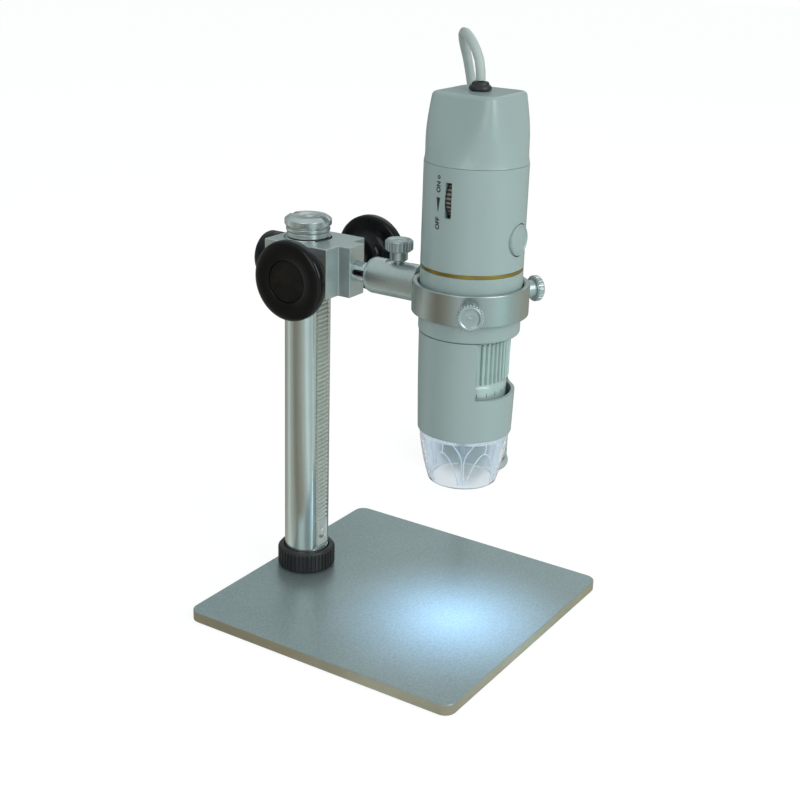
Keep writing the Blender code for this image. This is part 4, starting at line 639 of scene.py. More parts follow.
class Solid:
    """A piece in the making, whose cuts and bevels are applied as they are asked for."""

    def __init__(self, name: str, shape: bmesh.types.BMesh) -> None:
        """Start from a shape.

        Args:
            name: The finished piece's name.
            shape: Its first shape, in millimetres.
        """
        mesh = bpy.data.meshes.new(name)
        shape.to_mesh(mesh)
        shape.free()
        self.obj = add_object(name, mesh)

    def settle(self) -> Solid:
        """Turn what the modifiers make into the piece's own mesh."""
        mesh = made_mesh(self.obj)
        old = self.obj.data
        self.obj.modifiers.clear()
        self.obj.data = mesh
        mesh.name = self.obj.name
        bpy.data.meshes.remove(old)
        return self

    def change(self, shape: bmesh.types.BMesh, way: Cut = Cut.REMOVE) -> Solid:
        """Cut a shape away or join it on.

        Args:
            shape: The tool, in the piece's own place.
            way: What the tool does.

        Returns:
            The piece itself.
        """
        tool = Solid(self.obj.name + "_tool", shape)
        modifier = self.obj.modifiers.new("cut", "BOOLEAN")
        modifier.operation = way.value
        modifier.solver = "EXACT"
        modifier.object = tool.obj
        self.settle()
        bpy.data.objects.remove(tool.obj)
        return self

    def bore(self, radius: float, low: float, high: float, axis: Axis | Matrix = Axis.UP,
             at: Sequence[float] = (0, 0, 0), steps: int = 48) -> Solid:
        """Drill a round hole.

        Args:
            radius: Its radius.
            low: Where it starts along its axis.
            high: Where it ends.
            axis: The way that it runs.
            at: The place that the axis goes through.
            steps: Facets round it.

        Returns:
            The piece itself.
        """
        return self.change(laid(bar(radius, low, high, steps), axis, at))

    def soften(self, width: float, segments: int = 2, angle: float = 40.0) -> Solid:
        """Bevel the edges that are sharper than an angle in degrees."""
        modifier = self.obj.modifiers.new("soften", "BEVEL")
        modifier.width = width
        modifier.segments = segments
        modifier.limit_method = "ANGLE"
        modifier.angle_limit = math.radians(angle)
        modifier.harden_normals = True
        self.obj.data.shade_smooth()
        self.obj.data.set_sharp_from_angle(angle=math.radians(angle))
        return self.settle()

    def repeat(self, unit: bmesh.types.BMesh, count: int, finish: Finish, step: Point = (0, 0, 0),
               turn: Point = (0, 0, 0)) -> Solid:
        """Add copies of a unit to the piece with the shared Geometry Nodes tree.

        Args:
            unit: The shape that repeats, where its first copy stands.
            count: How many copies.
            finish: The finish of the whole piece.
            step: How far each copy is moved from the one before.
            turn: How far each copy is turned about the origin, in radians.

        Returns:
            The piece itself.
        """
        pattern = Solid(self.obj.name + "_unit", unit)
        tree, sockets = Repeats.tree()
        modifier = self.obj.modifiers.new("repeat", "NODES")
        modifier.node_group = tree
        modifier[sockets["Unit"]] = pattern.obj
        modifier[sockets["Count"]] = count
        modifier[sockets["Step"]] = [float(value) for value in step]
        modifier[sockets["Turn"]] = [float(value) for value in turn]
        modifier[sockets["Material"]] = finish.material()
        self.settle()
        bpy.data.objects.remove(pattern.obj)
        return self

    def place(self, at: Sequence[float], axis: Axis | Matrix = Axis.UP) -> Solid:
        """Turn the piece onto an axis and carry it to a place."""
        turn = axis.value if isinstance(axis, Axis) else axis
        self.obj.data.transform(Matrix.Translation(Vector(at)) @ turn)
        return self

    def dress(self, finish: Finish, body: Body, *nodes: str, smooth: float = SMOOTH_ANGLE,
              hardened: bool = False) -> bpy.types.Object:
        """Finish the piece: metres, material, body and the nodes that it stands for.

        Args:
            finish: Its surface finish.
            body: The body that it rides on.
            nodes: The CAD nodes that it replaces.
            smooth: The angle in degrees past which an edge stays sharp.
            hardened: True where a bevel has already set the normals.

        Returns:
            The finished object.
        """
        mesh = self.obj.data
        mesh.transform(Matrix.Scale(MM, 4))
        if not hardened:
            mesh.shade_smooth()
            mesh.set_sharp_from_angle(angle=math.radians(smooth))
        mesh.materials.clear()
        mesh.materials.append(finish.material())
        return ride(self.obj, finish, body, *nodes)


def turned(name: str, profile: Profile, steps: int, soft: float = 0.0, segments: int = 3,
           closed: bool = False) -> Solid:
    """A piece turned round Z.

    Args:
        name: The finished piece's name.
        profile: Radius and height of each point.
        steps: Facets round the axis.
        soft: How far from its corner each easing starts, or 0 for a profile kept as it is.
        segments: Segments in each easing.
        closed: True where the profile is a loop.

    Returns:
        The piece in the making.
    """
    points = eased(profile, soft, segments, closed) if soft else profile
    return Solid(name, lathe(points, steps, closed))


def ride(obj: bpy.types.Object, finish: Finish, body: Body, *nodes: str) -> bpy.types.Object:
    """Tie a finished object to its body and the nodes that it replaces."""
    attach(obj, body.value)
    if nodes:
        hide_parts(*nodes)
    log.info("%s rides on %s", obj.name, body.value)
    return obj


class Repeats:
    """The Geometry Nodes tree that repeats a unit along a row or round an axis."""

    _made: tuple[bpy.types.NodeTree, dict[str, str]] | None = None

    @classmethod
    def tree(cls) -> tuple[bpy.types.NodeTree, dict[str, str]]:
        """The tree and its input sockets' identifiers by name."""
        if cls._made is None:
            group = Tree("repeated_units", "GeometryNodeTree")
            sockets = {"Geometry": group.socket("Geometry", "Geometry")}
            sockets["Unit"] = group.socket("Unit", "Object")
            sockets["Count"] = group.socket("Count", "Int", value=8)
            sockets["Step"] = group.socket("Step", "Vector")
            sockets["Turn"] = group.socket("Turn", "Vector")
            sockets["Material"] = group.socket("Material", "Material")
            group.socket("Geometry", "Geometry", out=True)
            inlet = group.inlet.outputs
            number = group.node("GeometryNodeInputIndex").outputs[0]
            moved, turned = (
                group.node("ShaderNodeVectorMath", {0: inlet[way], "Scale": number}, operation="SCALE")
                for way in ("Step", "Turn")
            )
            feeds = {"Count": inlet["Count"], "Position": moved.outputs[0]}
            points = group.node("GeometryNodePoints", feeds)
            unit = group.node("GeometryNodeObjectInfo", {"Object": inlet["Unit"]})
            rotation = group.node("FunctionNodeEulerToRotation", {0: turned.outputs[0]})
            feeds = {"Points": points.outputs[0], "Instance": unit.outputs["Geometry"]}
            feeds["Rotation"] = rotation.outputs[0]
            copies = group.node("GeometryNodeInstanceOnPoints", feeds)
            joined = group.node("GeometryNodeJoinGeometry", {0: inlet["Geometry"]})
            group.tree.links.new(copies.outputs[0], joined.inputs[0])
            group.hand_out(joined.outputs[0])
            cls._made = (group.tree, sockets)
        return cls._made


class Sweeps:
    """The Geometry Nodes tree that gives a line a round section."""

    _made: tuple[bpy.types.NodeTree, dict[str, str]] | None = None

    @classmethod
    def tree(cls) -> tuple[bpy.types.NodeTree, dict[str, str]]:
        """The tree and its input sockets' identifiers by name."""
        if cls._made is None:
            group = Tree("round_sweep", "GeometryNodeTree")
            sockets = {"Geometry": group.socket("Geometry", "Geometry")}
            sockets["Radius"] = group.socket("Radius", "Float", value=1.5)
            sockets["Sides"] = group.socket("Sides", "Int", value=12)
            sockets["Material"] = group.socket("Material", "Material")
            group.socket("Geometry", "Geometry", out=True)
            inlet = group.inlet.outputs
            feeds = {"Resolution": inlet["Sides"], "Radius": inlet["Radius"]}
            section = group.node("GeometryNodeCurvePrimitiveCircle", feeds)
            feeds = {0: inlet["Geometry"], "Profile Curve": section.outputs[0], "Fill Caps": True}
            tube = group.node("GeometryNodeCurveToMesh", feeds)
            group.hand_out(tube.outputs[0])
            cls._made = (group.tree, sockets)
        return cls._made

    @classmethod
    def tube(
        cls, name: str, path: Sequence[Vector], radius: float, sides: int, finish: Finish
    ) -> bpy.types.Object:
        """A mesh tube along a path.

        Args:
            name: The object's name.
            path: The points that it follows.
            radius: Its radius, in the path's unit.
            sides: Facets round it.
            finish: Its surface finish.

        Returns:
            The tube as a plain mesh object.
        """
        tree, sockets = cls.tree()
        data = bpy.data.curves.new(name + "_line", "CURVE")
        data.dimensions = "3D"
        spline = data.splines.new("POLY")
        spline.points.add(len(path) - 1)
        for knot, point in zip(spline.points, path):
            knot.co = (*point, 1)
        line = add_object(name + "_line", data)
        modifier = line.modifiers.new("sweep", "NODES")
        modifier.node_group = tree
        modifier[sockets["Radius"]] = radius
        modifier[sockets["Sides"]] = sides
        modifier[sockets["Material"]] = finish.material()
        mesh = made_mesh(line)
        mesh.name = name
        mesh.shade_smooth()
        mesh.set_sharp_from_angle(angle=math.radians(50))
        bpy.data.objects.remove(line)
        return add_object(name, mesh)


def smooth_route(knots: Sequence[Vector], spacing: float) -> list[Vector]:
    """Evenly spaced points on a smooth curve through the knots.

    Args:
        knots: Points that the curve goes through.
        spacing: About how far apart the result's points are.

    Returns:
        The points, the first and last knot included.
    """
    ends = [2 * knots[0] - knots[1], 2 * knots[-1] - knots[-2]]
    row = [ends[0], *knots, ends[1]]
    dense = []
    for a, b, c, d in zip(row, row[1:], row[2:], row[3:]):
        for k in range(20):
            t = k / 20
            along = b * 2 + (c - a) * t + (a * 2 - b * 5 + c * 4 - d) * t**2
            dense.append((along + (b * 3 - a - c * 3 + d) * t**3) / 2)
    dense.append(row[-2])
    total = path_length(dense)
    step = total / round(total / spacing)
    points = [dense[0]]
    walked = 0.0
    for p, q in zip(dense, dense[1:]):
        walked += (q - p).length
        if walked >= step * len(points) - 0.01 * step:
            points.append(q)
    return points


def path_length(path: Sequence[Vector]) -> float:
    """The length of a row of points."""
    return sum((q - p).length for p, q in zip(path, path[1:]))


def ease(share: float) -> float:
    """A smooth step from 0 to 1."""
    share = min(max(share, 0.0), 1.0)
    return share * share * (3 - 2 * share)


@dataclass
class Studio:
    """The camera at the photograph's place, the pale floor and the soft lamps."""

    lens: float = 62.08
    sensor: float = 36.0
    place: Point = (234.16, -372.41, 241.74)
    yaw: float = 32.396
    pitch: float = 20.427
    roll: float = 1.733
    floor_half: float = 3.0
    floor_height: float = -0.0002
    paper: float = 0.80
    whiteness: float = 1.11
    white_share: float = 0.78
    band_rise: float = 0.34
    dim_side: Colour = (0.42, 0.46, 0.46)
    bright_side: Colour = (0.86, 0.92, 0.92)
    ceiling: tuple[tuple[float, Colour], ...] = (
        (0.0, (0.20, 0.25, 0.24)),
        (0.30, (0.20, 0.26, 0.26)),
        (0.46, (0.36, 0.44, 0.44)),
        (1.0, (0.60, 0.66, 0.66)),
    )
    bands: tuple[tuple[float, Colour], ...] = (
        (-180, (0.36, 0.36, 0.32)),
        (-162, (0.60, 0.66, 0.62)),
        (-150, (0.40, 0.42, 0.38)),
        (-125, (0.20, 0.19, 0.15)),
        (-105, (0.30, 0.28, 0.22)),
        (-85, (0.42, 0.46, 0.46)),
        (-64, (0.68, 0.80, 0.80)),
        (-45, (0.46, 0.54, 0.54)),
        (-22, (0.56, 0.68, 0.68)),
        (0, (0.62, 0.86, 0.84)),
        (25, (0.50, 0.60, 0.56)),
        (73, (0.44, 0.42, 0.36)),
        (110, (0.20, 0.22, 0.20)),
        (150, (0.24, 0.26, 0.23)),
        (180, (0.36, 0.36, 0.32)),
    )

    def camera(self) -> None:
        """Stand the camera where the photograph was taken."""
        yaw, pitch, roll = (math.radians(a) for a in (self.yaw, self.pitch, self.roll))
        ahead = Vector((-math.sin(yaw), math.cos(yaw), 0))
        right = Vector((math.cos(yaw), math.sin(yaw), 0))
        up = Vector((0, 0, 1))
        view = ahead * math.cos(pitch) - up * math.sin(pitch)
        above = ahead * math.sin(pitch) + up * math.cos(pitch)
        side = right * math.cos(roll) + above * math.sin(roll)
        top = above * math.cos(roll) - right * math.sin(roll)
        matrix = Matrix((side, top, -view)).transposed().to_4x4()
        matrix.translation = Vector(self.place) * MM
        data = bpy.data.cameras.new("camera")
        data.lens = self.lens
        data.sensor_width = self.sensor
        data.clip_start = 0.01
        obj = add_object("camera", data)
        obj.matrix_world = matrix
        bpy.context.scene.camera = obj

    def floor(self) -> None:
        """Lay the floor: white with a soft shadow to the eye, the banded room to reflections."""
        mesh = bpy.data.meshes.new("floor")
        half, low = self.floor_half, self.floor_height
        corners = [(-half, -half, low), (half, -half, low), (half, half, low), (-half, half, low)]
        mesh.from_pydata(corners, [], [(0, 1, 2, 3)])
        obj = add_object("floor", mesh)
        material = bpy.data.materials.new("floor_white")
        material.use_nodes = True
        tree = material.node_tree
        tree.nodes.remove(tree.nodes["Principled BSDF"])
        paper = add_node(tree, "ShaderNodeBsdfDiffuse", {"Color": (*[self.paper] * 3, 1.0)})
        white = add_node(tree, "ShaderNodeEmission", {"Color": WHITE, "Strength": self.whiteness})
        feeds = {0: self.eye(tree), 1: self.white_share}
        share = add_node(tree, "ShaderNodeMath", feeds, operation="MULTIPLY")
        place = add_node(tree, "ShaderNodeTexCoord").outputs["Object"]
        room = add_node(tree, "ShaderNodeGroup", {"Vector": place}, node_tree=self.room())
        dim = add_node(tree, "ShaderNodeEmission", {"Color": room.outputs["Color"]})
        glossy = add_node(tree, "ShaderNodeLightPath").outputs["Is Glossy Ray"]
        lit = add_node(tree, "ShaderNodeMixShader", {0: glossy, 1: paper.outputs[0], 2: dim.outputs[0]})
        feeds = {0: share.outputs[0], 1: lit.outputs[0], 2: white.outputs[0]}
        seen = add_node(tree, "ShaderNodeMixShader", feeds)
        tree.links.new(seen.outputs[0], tree.nodes["Material Output"].inputs["Surface"])
        mesh.materials.append(material)
        obj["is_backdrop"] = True

    def eye(self, tree: bpy.types.NodeTree) -> bpy.types.NodeSocket:
        """One for what the camera sees, straight or through clear plastic, and zero for the rest."""
        path = add_node(tree, "ShaderNodeLightPath").outputs
        feeds = {0: path["Is Camera Ray"], 1: path["Is Transmission Ray"]}
        return add_node(tree, "ShaderNodeMath", feeds, operation="MAXIMUM").outputs[0]

    def room(self) -> bpy.types.NodeTree:
        """The reflected room: soft bands of light and dark all round, by compass direction."""
        known = bpy.data.node_groups.get("room_bands")
        if known is not None:
            return known
        group = Tree("room_bands", "ShaderNodeTree")
        group.socket("Vector", "Vector")
        group.socket("Color", "Color", out=True)
        feeds = {"Vector": group.inlet.outputs["Vector"]}
        around = group.node("ShaderNodeTexGradient", feeds, gradient_type="RADIAL")
        bands = group.node("ShaderNodeValToRGB", {"Fac": around.outputs["Fac"]})
        bands.color_ramp.interpolation = "EASE"
        fill_ramp(bands.color_ramp, [((angle + 180) / 360, colour) for angle, colour in self.bands])
        group.tree.links.new(bands.outputs["Color"], group.outlet.inputs["Color"])
        return group.tree

    def surroundings(self) -> None:
        """A white world for the eye, the banded room for reflections, and plain soft light."""
        world = bpy.data.worlds.new("studio")
        bpy.context.scene.world = world
        world.use_nodes = True
        tree = world.node_tree
        ground = tree.nodes["Background"]
        way = add_node(tree, "ShaderNodeTexCoord").outputs["Generated"]
        parts = add_node(tree, "ShaderNodeSeparateXYZ", {0: way}).outputs
        room = add_node(tree, "ShaderNodeGroup", {"Vector": way}, node_tree=self.room())
        rise = add_node(tree, "ShaderNodeMapRange", {"Value": parts["Z"], "From Max": self.band_rise})
        upper = add_node(tree, "ShaderNodeValToRGB", {"Fac": parts["Z"]})
        fill_ramp(upper.color_ramp, self.ceiling)
        reflected = mixed(tree, rise.outputs["Result"], room.outputs["Color"], upper.outputs["Color"])
        feeds = {"Value": parts["X"], "From Min": -1.0, "From Max": 1.0}
        side = add_node(tree, "ShaderNodeMapRange", feeds).outputs["Result"]
        soft = mixed(tree, side, (*self.dim_side, 1.0), (*self.bright_side, 1.0))
        glossy = add_node(tree, "ShaderNodeLightPath").outputs["Is Glossy Ray"]
        lit = mixed(tree, glossy, soft, reflected)
        tree.links.new(mixed(tree, self.eye(tree), lit, WHITE), ground.inputs["Color"])

    def lamp(
        self, name: str, at: Point, aim: Point, size: float, watts: float, colour: Colour
    ) -> bpy.types.Object:
        """Hang one square soft lamp.

        Args:
            name: Its name.
            at: Where it hangs, in metres.
            aim: The point that it faces, in metres.
            size: Its side, in metres.
            watts: Its power.
            colour: Its colour.

        Returns:
            The lamp's object.
        """
        data = bpy.data.lights.new(name, "AREA")
        data.shape = "SQUARE"
        data.size = size
        data.energy = watts
        data.color = colour
        obj = add_object(name, data)
        obj.location = at
        obj.rotation_euler = (Vector(aim) - Vector(at)).to_track_quat("-Z", "Y").to_euler()
        return obj

    def lamps(self) -> None:
        """Hang the lamps: a window on the right, a weak fill in front and one behind."""
        middle = (0.0, 0.0, 0.1)
        self.lamp("window_lamp", (0.95, -0.15, 0.62), middle, 0.7, 5.0, (0.95, 1.0, 1.0))
        self.lamp("fill_lamp", (0.15, -1.05, 0.55), middle, 0.6, 1.6, (1.0, 1.0, 0.97))
        self.lamp("back_lamp", (-0.3, 0.9, 0.8), middle, 0.8, 0.8, (1.0, 1.0, 1.0))

    def nose_light(self) -> None:
        """Hang the lamp in the nose's mouth, which lights the plate and rides with the microscope."""
        mouth, below = (0.026, -0.005, 0.0552), (0.026, -0.0051, 0.0)
        glow = self.lamp("nose_glow", mouth, below, 0.012, 0.042, (0.42, 0.66, 1.0))
        glow.data.shape = "DISK"
        glow.data.spread = math.radians(84)
        glow.visible_glossy = False
        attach(glow, Body.SCOPE.value)

    def build(self) -> None:
        """Make the whole studio but for the light in the nose."""
        bpy.context.scene.view_settings.view_transform = "Standard"
        self.camera()
        self.floor()
        self.surroundings()
        self.lamps()


@dataclass
class Cable:
    """The cable from the gland to its coil, with the tie and the plug."""

    diameter: float = 3.0
    spacing: float = 3.0
    coil_x: float = -48.0
    coil_y: float = 130.0
    coil_lift: float = 0.8
    coil_radius: float = 15.0
    rows: int = 6
    shift: float = 42.0
    first_pass: float = 330.0
    pass_angle: float = 332.5
    last_pass: float = 300.0
    joining: float = 70.0
    winding_step: float = 12.0
    leave_heading: float = 210.0
    leave_reach: float = 17.0
    plug_reach: float = 14.0
    plug_heading: float = 119.0
    plug_height: float = 21.35
    plug_half: float = 9.5
    relief: float = 10.0
    strap_heading: float = 200.0
    strap_half: float = 1.75
    strap_thickness: float = 0.5
    strap_slack: float = 0.15
    route: tuple[Point, ...] = (
        (SCOPE_X, 0.0, 187.1),
        (22.8, 0.1, 192.4),
        (19.9, 1.3, 197.0),
        (15.8, 4.0, 199.8),
        (11.9, 8.1, 199.7),
        (9.4, 13.0, 196.2),
        (8.3, 17.9, 190.2),
        (8.0, 21.7, 181.5),
        (7.8, 24.0, 173.1),
        (7.6, 26.2, 160.0),
        (5.8, 30.0, 130.0),
        (2.2, 36.8, 98.0),
        (-3.6, 47.4, 69.0),
        (-11.0, 60.5, 44.0),
        (-19.0, 75.5, 25.0),
        (-25.0, 89.5, 12.0),
        (-29.0, 104.0, 5.2),
        (-30.7, 120.9, 2.4),
    )

    def free_path(self) -> list[Vector]:
        """The free stretch's points, from the gland to the coil, in metres."""
        knots = [Vector(point) * MM for point in self.route]
        return smooth_route(knots, self.spacing * MM)

    def berths(self) -> list[tuple[float, float]]:
        """Where each pass of the coil lies, as radius and height, in winding order."""
        outer = self.coil_radius + self.diameter / 2
        inner = self.coil_radius - self.diameter / 2
        order = []
        for row in range(self.rows):
            height = self.coil_lift + (row + 0.5) * self.diameter
            pair = [(outer, height), (inner, height)]
            order += pair if row % 2 == 0 else pair[::-1]
        return order

    def coil_path(self) -> list[Vector]:
        """The wound stretch and its tail into the plug, in metres."""
        centre = Vector((self.coil_x, self.coil_y, 0))
        first = Vector(self.route[-1]) - centre
        start = math.degrees(math.atan2(first.y, first.x))
        berths = self.berths()
        leave = self.leave_heading - start
        turns = len(berths)
        end = self.pass_angle * (turns - 1) + self.last_pass
        end = math.floor((end - leave) / 360.0) * 360.0 + leave
        points = []
        angle = 0.0
        while angle < end + TINY:
            radius, height = berths[0]
            for k in range(turns - 1):
                share = ease((angle - (self.first_pass - self.shift + self.pass_angle * k)) / self.shift)
                radius += share * (berths[k + 1][0] - berths[k][0])
                height += share * (berths[k + 1][1] - berths[k][1])
            join = 1 - ease(angle / self.joining)
            radius += join * (math.hypot(first.x, first.y) - radius)
            height += join * (first.z - height)
            turn = math.radians(start + angle)
            points.append(centre + Vector((radius * math.cos(turn), radius * math.sin(turn), height)))
            angle += self.winding_step
        return [point * MM for point in points + self.tail(points[-2], points[-1])]

    def tail(self, before: Vector, last: Vector) -> list[Vector]:
        """The short bow from the coil's last pass into the plug's relief."""
        heading = math.radians(self.plug_heading)
        along = Vector((math.cos(heading), math.sin(heading), 0))
        target = Vector((self.coil_x, self.coil_y, self.plug_height))
        target -= along * (self.plug_half + self.relief - 1.0)
        leaving = (last - before).normalized()
        a = last + leaving * self.leave_reach
        b = target - along * self.plug_reach
        out = []
        count = 14
        for k in range(1, count + 1):
            t = k / count
            point = last * (1 - t) ** 3 + a * 3 * t * (1 - t) ** 2
            out.append(point + b * 3 * t * t * (1 - t) + target * t**3)
        return out

    def lay_free(self) -> None:
        """Lay the free stretch in four lengths, each over one joint."""
        path = self.free_path()
        radius = self.diameter * MM / 2
        spans = (
            ("cable_exit", 11, Body.SCOPE, Body.CLAMP),
            ("cable_bow", 22, Body.CLAMP, Body.ARM),
            ("cable_drop", 50, Body.ARM, Body.CARRIAGE),
            ("cable_fall", len(path) - 1, Body.CARRIAGE, Body.ROOT),
        )
        begin = 0
        for name, stop, near, far in spans:
            part = path[begin : stop + 1]
            tube = Sweeps.tube(name, part, radius, 16, CABLE_SKIN)
            if name == "cable_fall":
                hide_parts("cable")
            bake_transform(tube)
            begin = stop
            log.info("%s bends from %s to %s", name, near.value, far.value)

    def wind(self) -> None:
        """Wind the coil, tie it and put the plug on its end."""
        path = self.coil_path()
        coil = Sweeps.tube("cable_turns", path, self.diameter * MM / 2, 10, CABLE_SKIN)
        ride(coil, CABLE_SKIN, Body.ROOT, "cable_coil")
        tie = self.tie()
        plug = self.plug()

    def tie(self) -> bpy.types.Object:
        """The hook-and-loop strap round one side of the coil."""
        inner = self.coil_radius - self.diameter - 0.5
        outer = self.coil_radius + self.diameter + self.strap_slack
        low = self.coil_lift - self.strap_slack
        high = self.coil_lift + self.rows * self.diameter + self.strap_slack
        half, thick = self.strap_half, self.strap_thickness
        middle = ((inner + outer) / 2, (low + high) / 2)
        sections = []
        for grow, y in ((0.0, -half), (thick, -half), (thick, half), (0.0, half)):
            outline = rounded_rectangle(outer - inner + 2 * grow, high - low + 2 * grow, 0.8 + grow, 4)
            sections.append([(middle[0] + x, y, middle[1] + z) for x, z in outline])
        strap = Solid("coil_strap", loft(sections, closed=True))
        strap.place((self.coil_x, self.coil_y, 0), round_z(math.radians(self.strap_heading)))
        return strap.dress(SOFT_BLACK, Body.ROOT, "cable_tie")

    def plug(self) -> list[bpy.types.Object]:
        """The overmould with its ribbed relief, the metal shell and the tongue."""
        half = self.plug_half
        turn = round_z(math.radians(self.plug_heading))
        at = (self.coil_x, self.coil_y, self.plug_height)
        sections = []
        ends = [(-half, 0.9), (-half + 0.3, 0.35), (-half + 0.9, 0.0), (half - 0.6, 0.0), (half, 0.5)]
        for x, shrink in ends:
            outline = rounded_rectangle(11.5 - 2 * shrink, 7.6 - 2 * shrink, 1.8 - shrink / 2, 5)
            sections.append([(x, y, z) for y, z in outline])
        body = Solid("plug_overmould", loft(sections))
        relief = []
        for k in range(7):
            x = -half - self.relief + k * self.relief / 7
            radius = 1.62 + 0.58 * k / 7
            relief += [(radius, x), (radius, x + 0.9), (radius - 0.35, x + 1.0), (radius - 0.35, x + 1.35)]
        relief = [(0, relief[0][1]), *relief, (2.2, -half), (2.2, -half + 1), (0, -half + 1)]
        body.change(laid(lathe(relief, 24), Axis.X), Cut.JOIN)
        body.soften(0.12)
        start = half + 0.3
        shell = Solid("plug_shell", block((start, -6, -2.25), (start + 12, 6, 2.25)))
        shell.change(block((start + 1, -5.6, -1.85), (start + 13, 5.6, 1.85)))
        for y in (-3.0, 3.0):
            shell.change(block((start + 5.2, y - 1.1, 1), (start + 7.4, y + 1.1, 3)))
        shell.soften(0.15)
        tongue = Solid("plug_tongue", block((start + 1.3, -5.3, -1.55), (start + 11.4, 5.3, 0.05)))
        tongue.soften(0.12)
        parts = ((body, SOFT_BLACK, "usb_plug"), (shell, CHROME, "usb_plug_shell"),
                 (tongue, WHITE_PLASTIC, "usb_plug_tongue"))
        return [
            solid.place(at, turn).dress(finish, Body.ROOT, node, hardened=True)
            for solid, finish, node in parts
        ]

    def build(self) -> None:
        """Make the whole cable."""
        self.lay_free()
        self.wind()


@dataclass
class Stand:
    """The plate, the column with its rack and cap, and the collar round its foot."""

    plate_side: float = 106.0
    plate_thickness: float = 4.0
    column_x: float = COLUMN_X
    column_foot: float = 4.3
    column_top: float = 128.6
    column_radius: float = 8.0
    column_flat: float = 6.3
    screw_bore: float = 2.8
    rack_back: float = 4.8
    rack_tip: float = 7.2
    rack_foot: float = 13.7
    rack_head: float = 127.6
    rack_half: float = 2.9
    pitch_line: float = 6.825
    pinion_height: float = ARM_Z
    tooth_module: float = 0.5
    notch: float = 4.6
    collar_ribs: int = 44

    def plate(self) -> None:
        """The satin plate with its bare edge and the screw hole below."""
        outline = rounded_rectangle(self.plate_side, self.plate_side, 4.0, 10)
        plate = Solid("satin_base", prism(outline, 0.0, self.plate_thickness))
        plate.soften(0.4, 3)
        cone = [(0, -1.0), (5.1, -1.0), (5.1, 0.8), (2.8, 3.1), (2.8, 5.0), (0, 5.0)]
        plate.change(laid(lathe(cone, 48), Axis.UP, (self.column_x, 0, 0)))
        obj = plate.dress(PLATE_TOP, Body.ROOT, "base_plate", smooth=10.0)
        obj.data.materials.append(PLATE_EDGE.material())
        for face in obj.data.polygons:
            face.material_index = int(abs(face.normal.z) < 0.6)

    def column(self) -> None:
        """The bright bar with its milled flat and the rack's slot."""
        foot, top, radius = self.column_foot, self.column_top, self.column_radius
        profile = [(0, foot), (radius, foot), (radius, top), (0, top)]
        bar_shape = turned("column_bar", profile, 128, 0.4, segments=4)
        bar_shape.change(block((self.column_flat, -10, self.rack_foot - 1.2), (10, 10, top + 1)))
        bar_shape.change(block((self.rack_back - 0.3, -3.2, self.rack_foot - 0.3), (10, 3.2, top + 2)))
        bar_shape.bore(self.screw_bore, foot - 1, foot + 12.3)
        bar_shape.bore(self.screw_bore, top - 9.3, top + 3)
        bar_shape.soften(0.12, 2, 50.0).place((self.column_x, 0, 0))
        bar_shape.dress(COLUMN_STEEL, Body.ROOT, "column", hardened=True)

    def rack(self) -> None:
        """The rack: a plain bar with a row of repeated teeth between its ends."""
        pitch = math.pi * self.tooth_module
        low = self.pitch_line - 1.25 * self.tooth_module
        slope = math.tan(PRESSURE_ANGLE)
        side = self.rack_half
        half = pitch / 4 + 0.05
        first = math.ceil((self.rack_foot + 8.8 - self.pinion_height) / pitch)
        last = math.floor((self.rack_head - 4.4 - self.pinion_height) / pitch)
        start = self.pinion_height + first * pitch - half
        end = self.pinion_height + last * pitch + half
        back = self.rack_back
        rack = Solid("rack_bar", block((back, -side, self.rack_foot), (low, side, self.rack_head)))
        for foot, head in ((self.rack_foot, start), (end, self.rack_head)):
            rack.change(block((low - 0.3, -side, foot), (self.rack_tip, side, head)), Cut.JOIN)
        for height in (self.rack_foot + 4.4, self.rack_head - 2.2):
            sink = [(0, -5), (1.4, -5), (1.4, -0.9), (2.2, 0), (2.2, 1), (0, 1)]
            rack.change(laid(lathe(sink, 32), Axis.X, (self.rack_tip, 0, height)))
        rack.soften(0.08, 1)
        middle = self.pinion_height + (first + 0.5) * pitch
        land = pitch / 2 - half
        wide = land + (self.pitch_line - low) * slope
        narrow = land - (self.rack_tip - self.pitch_line) * slope
        corners = [(low - 0.1, -wide), (self.rack_tip - 0.08, -narrow), (self.rack_tip, -narrow + 0.06)]
        corners += [(self.rack_tip, narrow - 0.06), (self.rack_tip - 0.08, narrow), (low - 0.1, wide)]
        tooth = loft([[(x, y, middle + z) for x, z in corners] for y in (-side, side)])
        rack.repeat(tooth, last - first, RACK_STEEL, step=(0, 0, pitch))
        rack.place((self.column_x, 0, 0)).dress(RACK_STEEL, Body.ROOT, "rack", smooth=20.0)

    def cap(self) -> None:
        """The turned cap, with a coin notch at each side and a centre dimple."""
        profile = [
            (0, -9.0), (2.5, -9.0), (2.5, 0), (7.3, 0), (7.3, 1.5), (6.7, 1.8), (7.6, 2.1),
            (7.6, 3.06), (7.0, 3.3), (7.0, 3.9), (7.85, 3.9), (8.1, 4.15), (8.1, 5.9),
            (6.7, 7.0), (3.2, 7.0), (2.6, 6.8), (1.4, 6.8), (0.9, 7.0), (0.45, 6.9), (0, 6.5),
        ]
        cap = turned("coin_cap", profile, 112, 0.18)
        for low, high in ((-10, -self.notch), (self.notch, 10)):
            cap.change(block((low, -1.3, 5.4), (high, 1.3, 8)))
        cap.soften(0.1, 2, 50.0).place((self.column_x, 0, self.column_top + 0.3))
        cap.dress(TURNED, Body.ROOT, "column_cap", hardened=True)

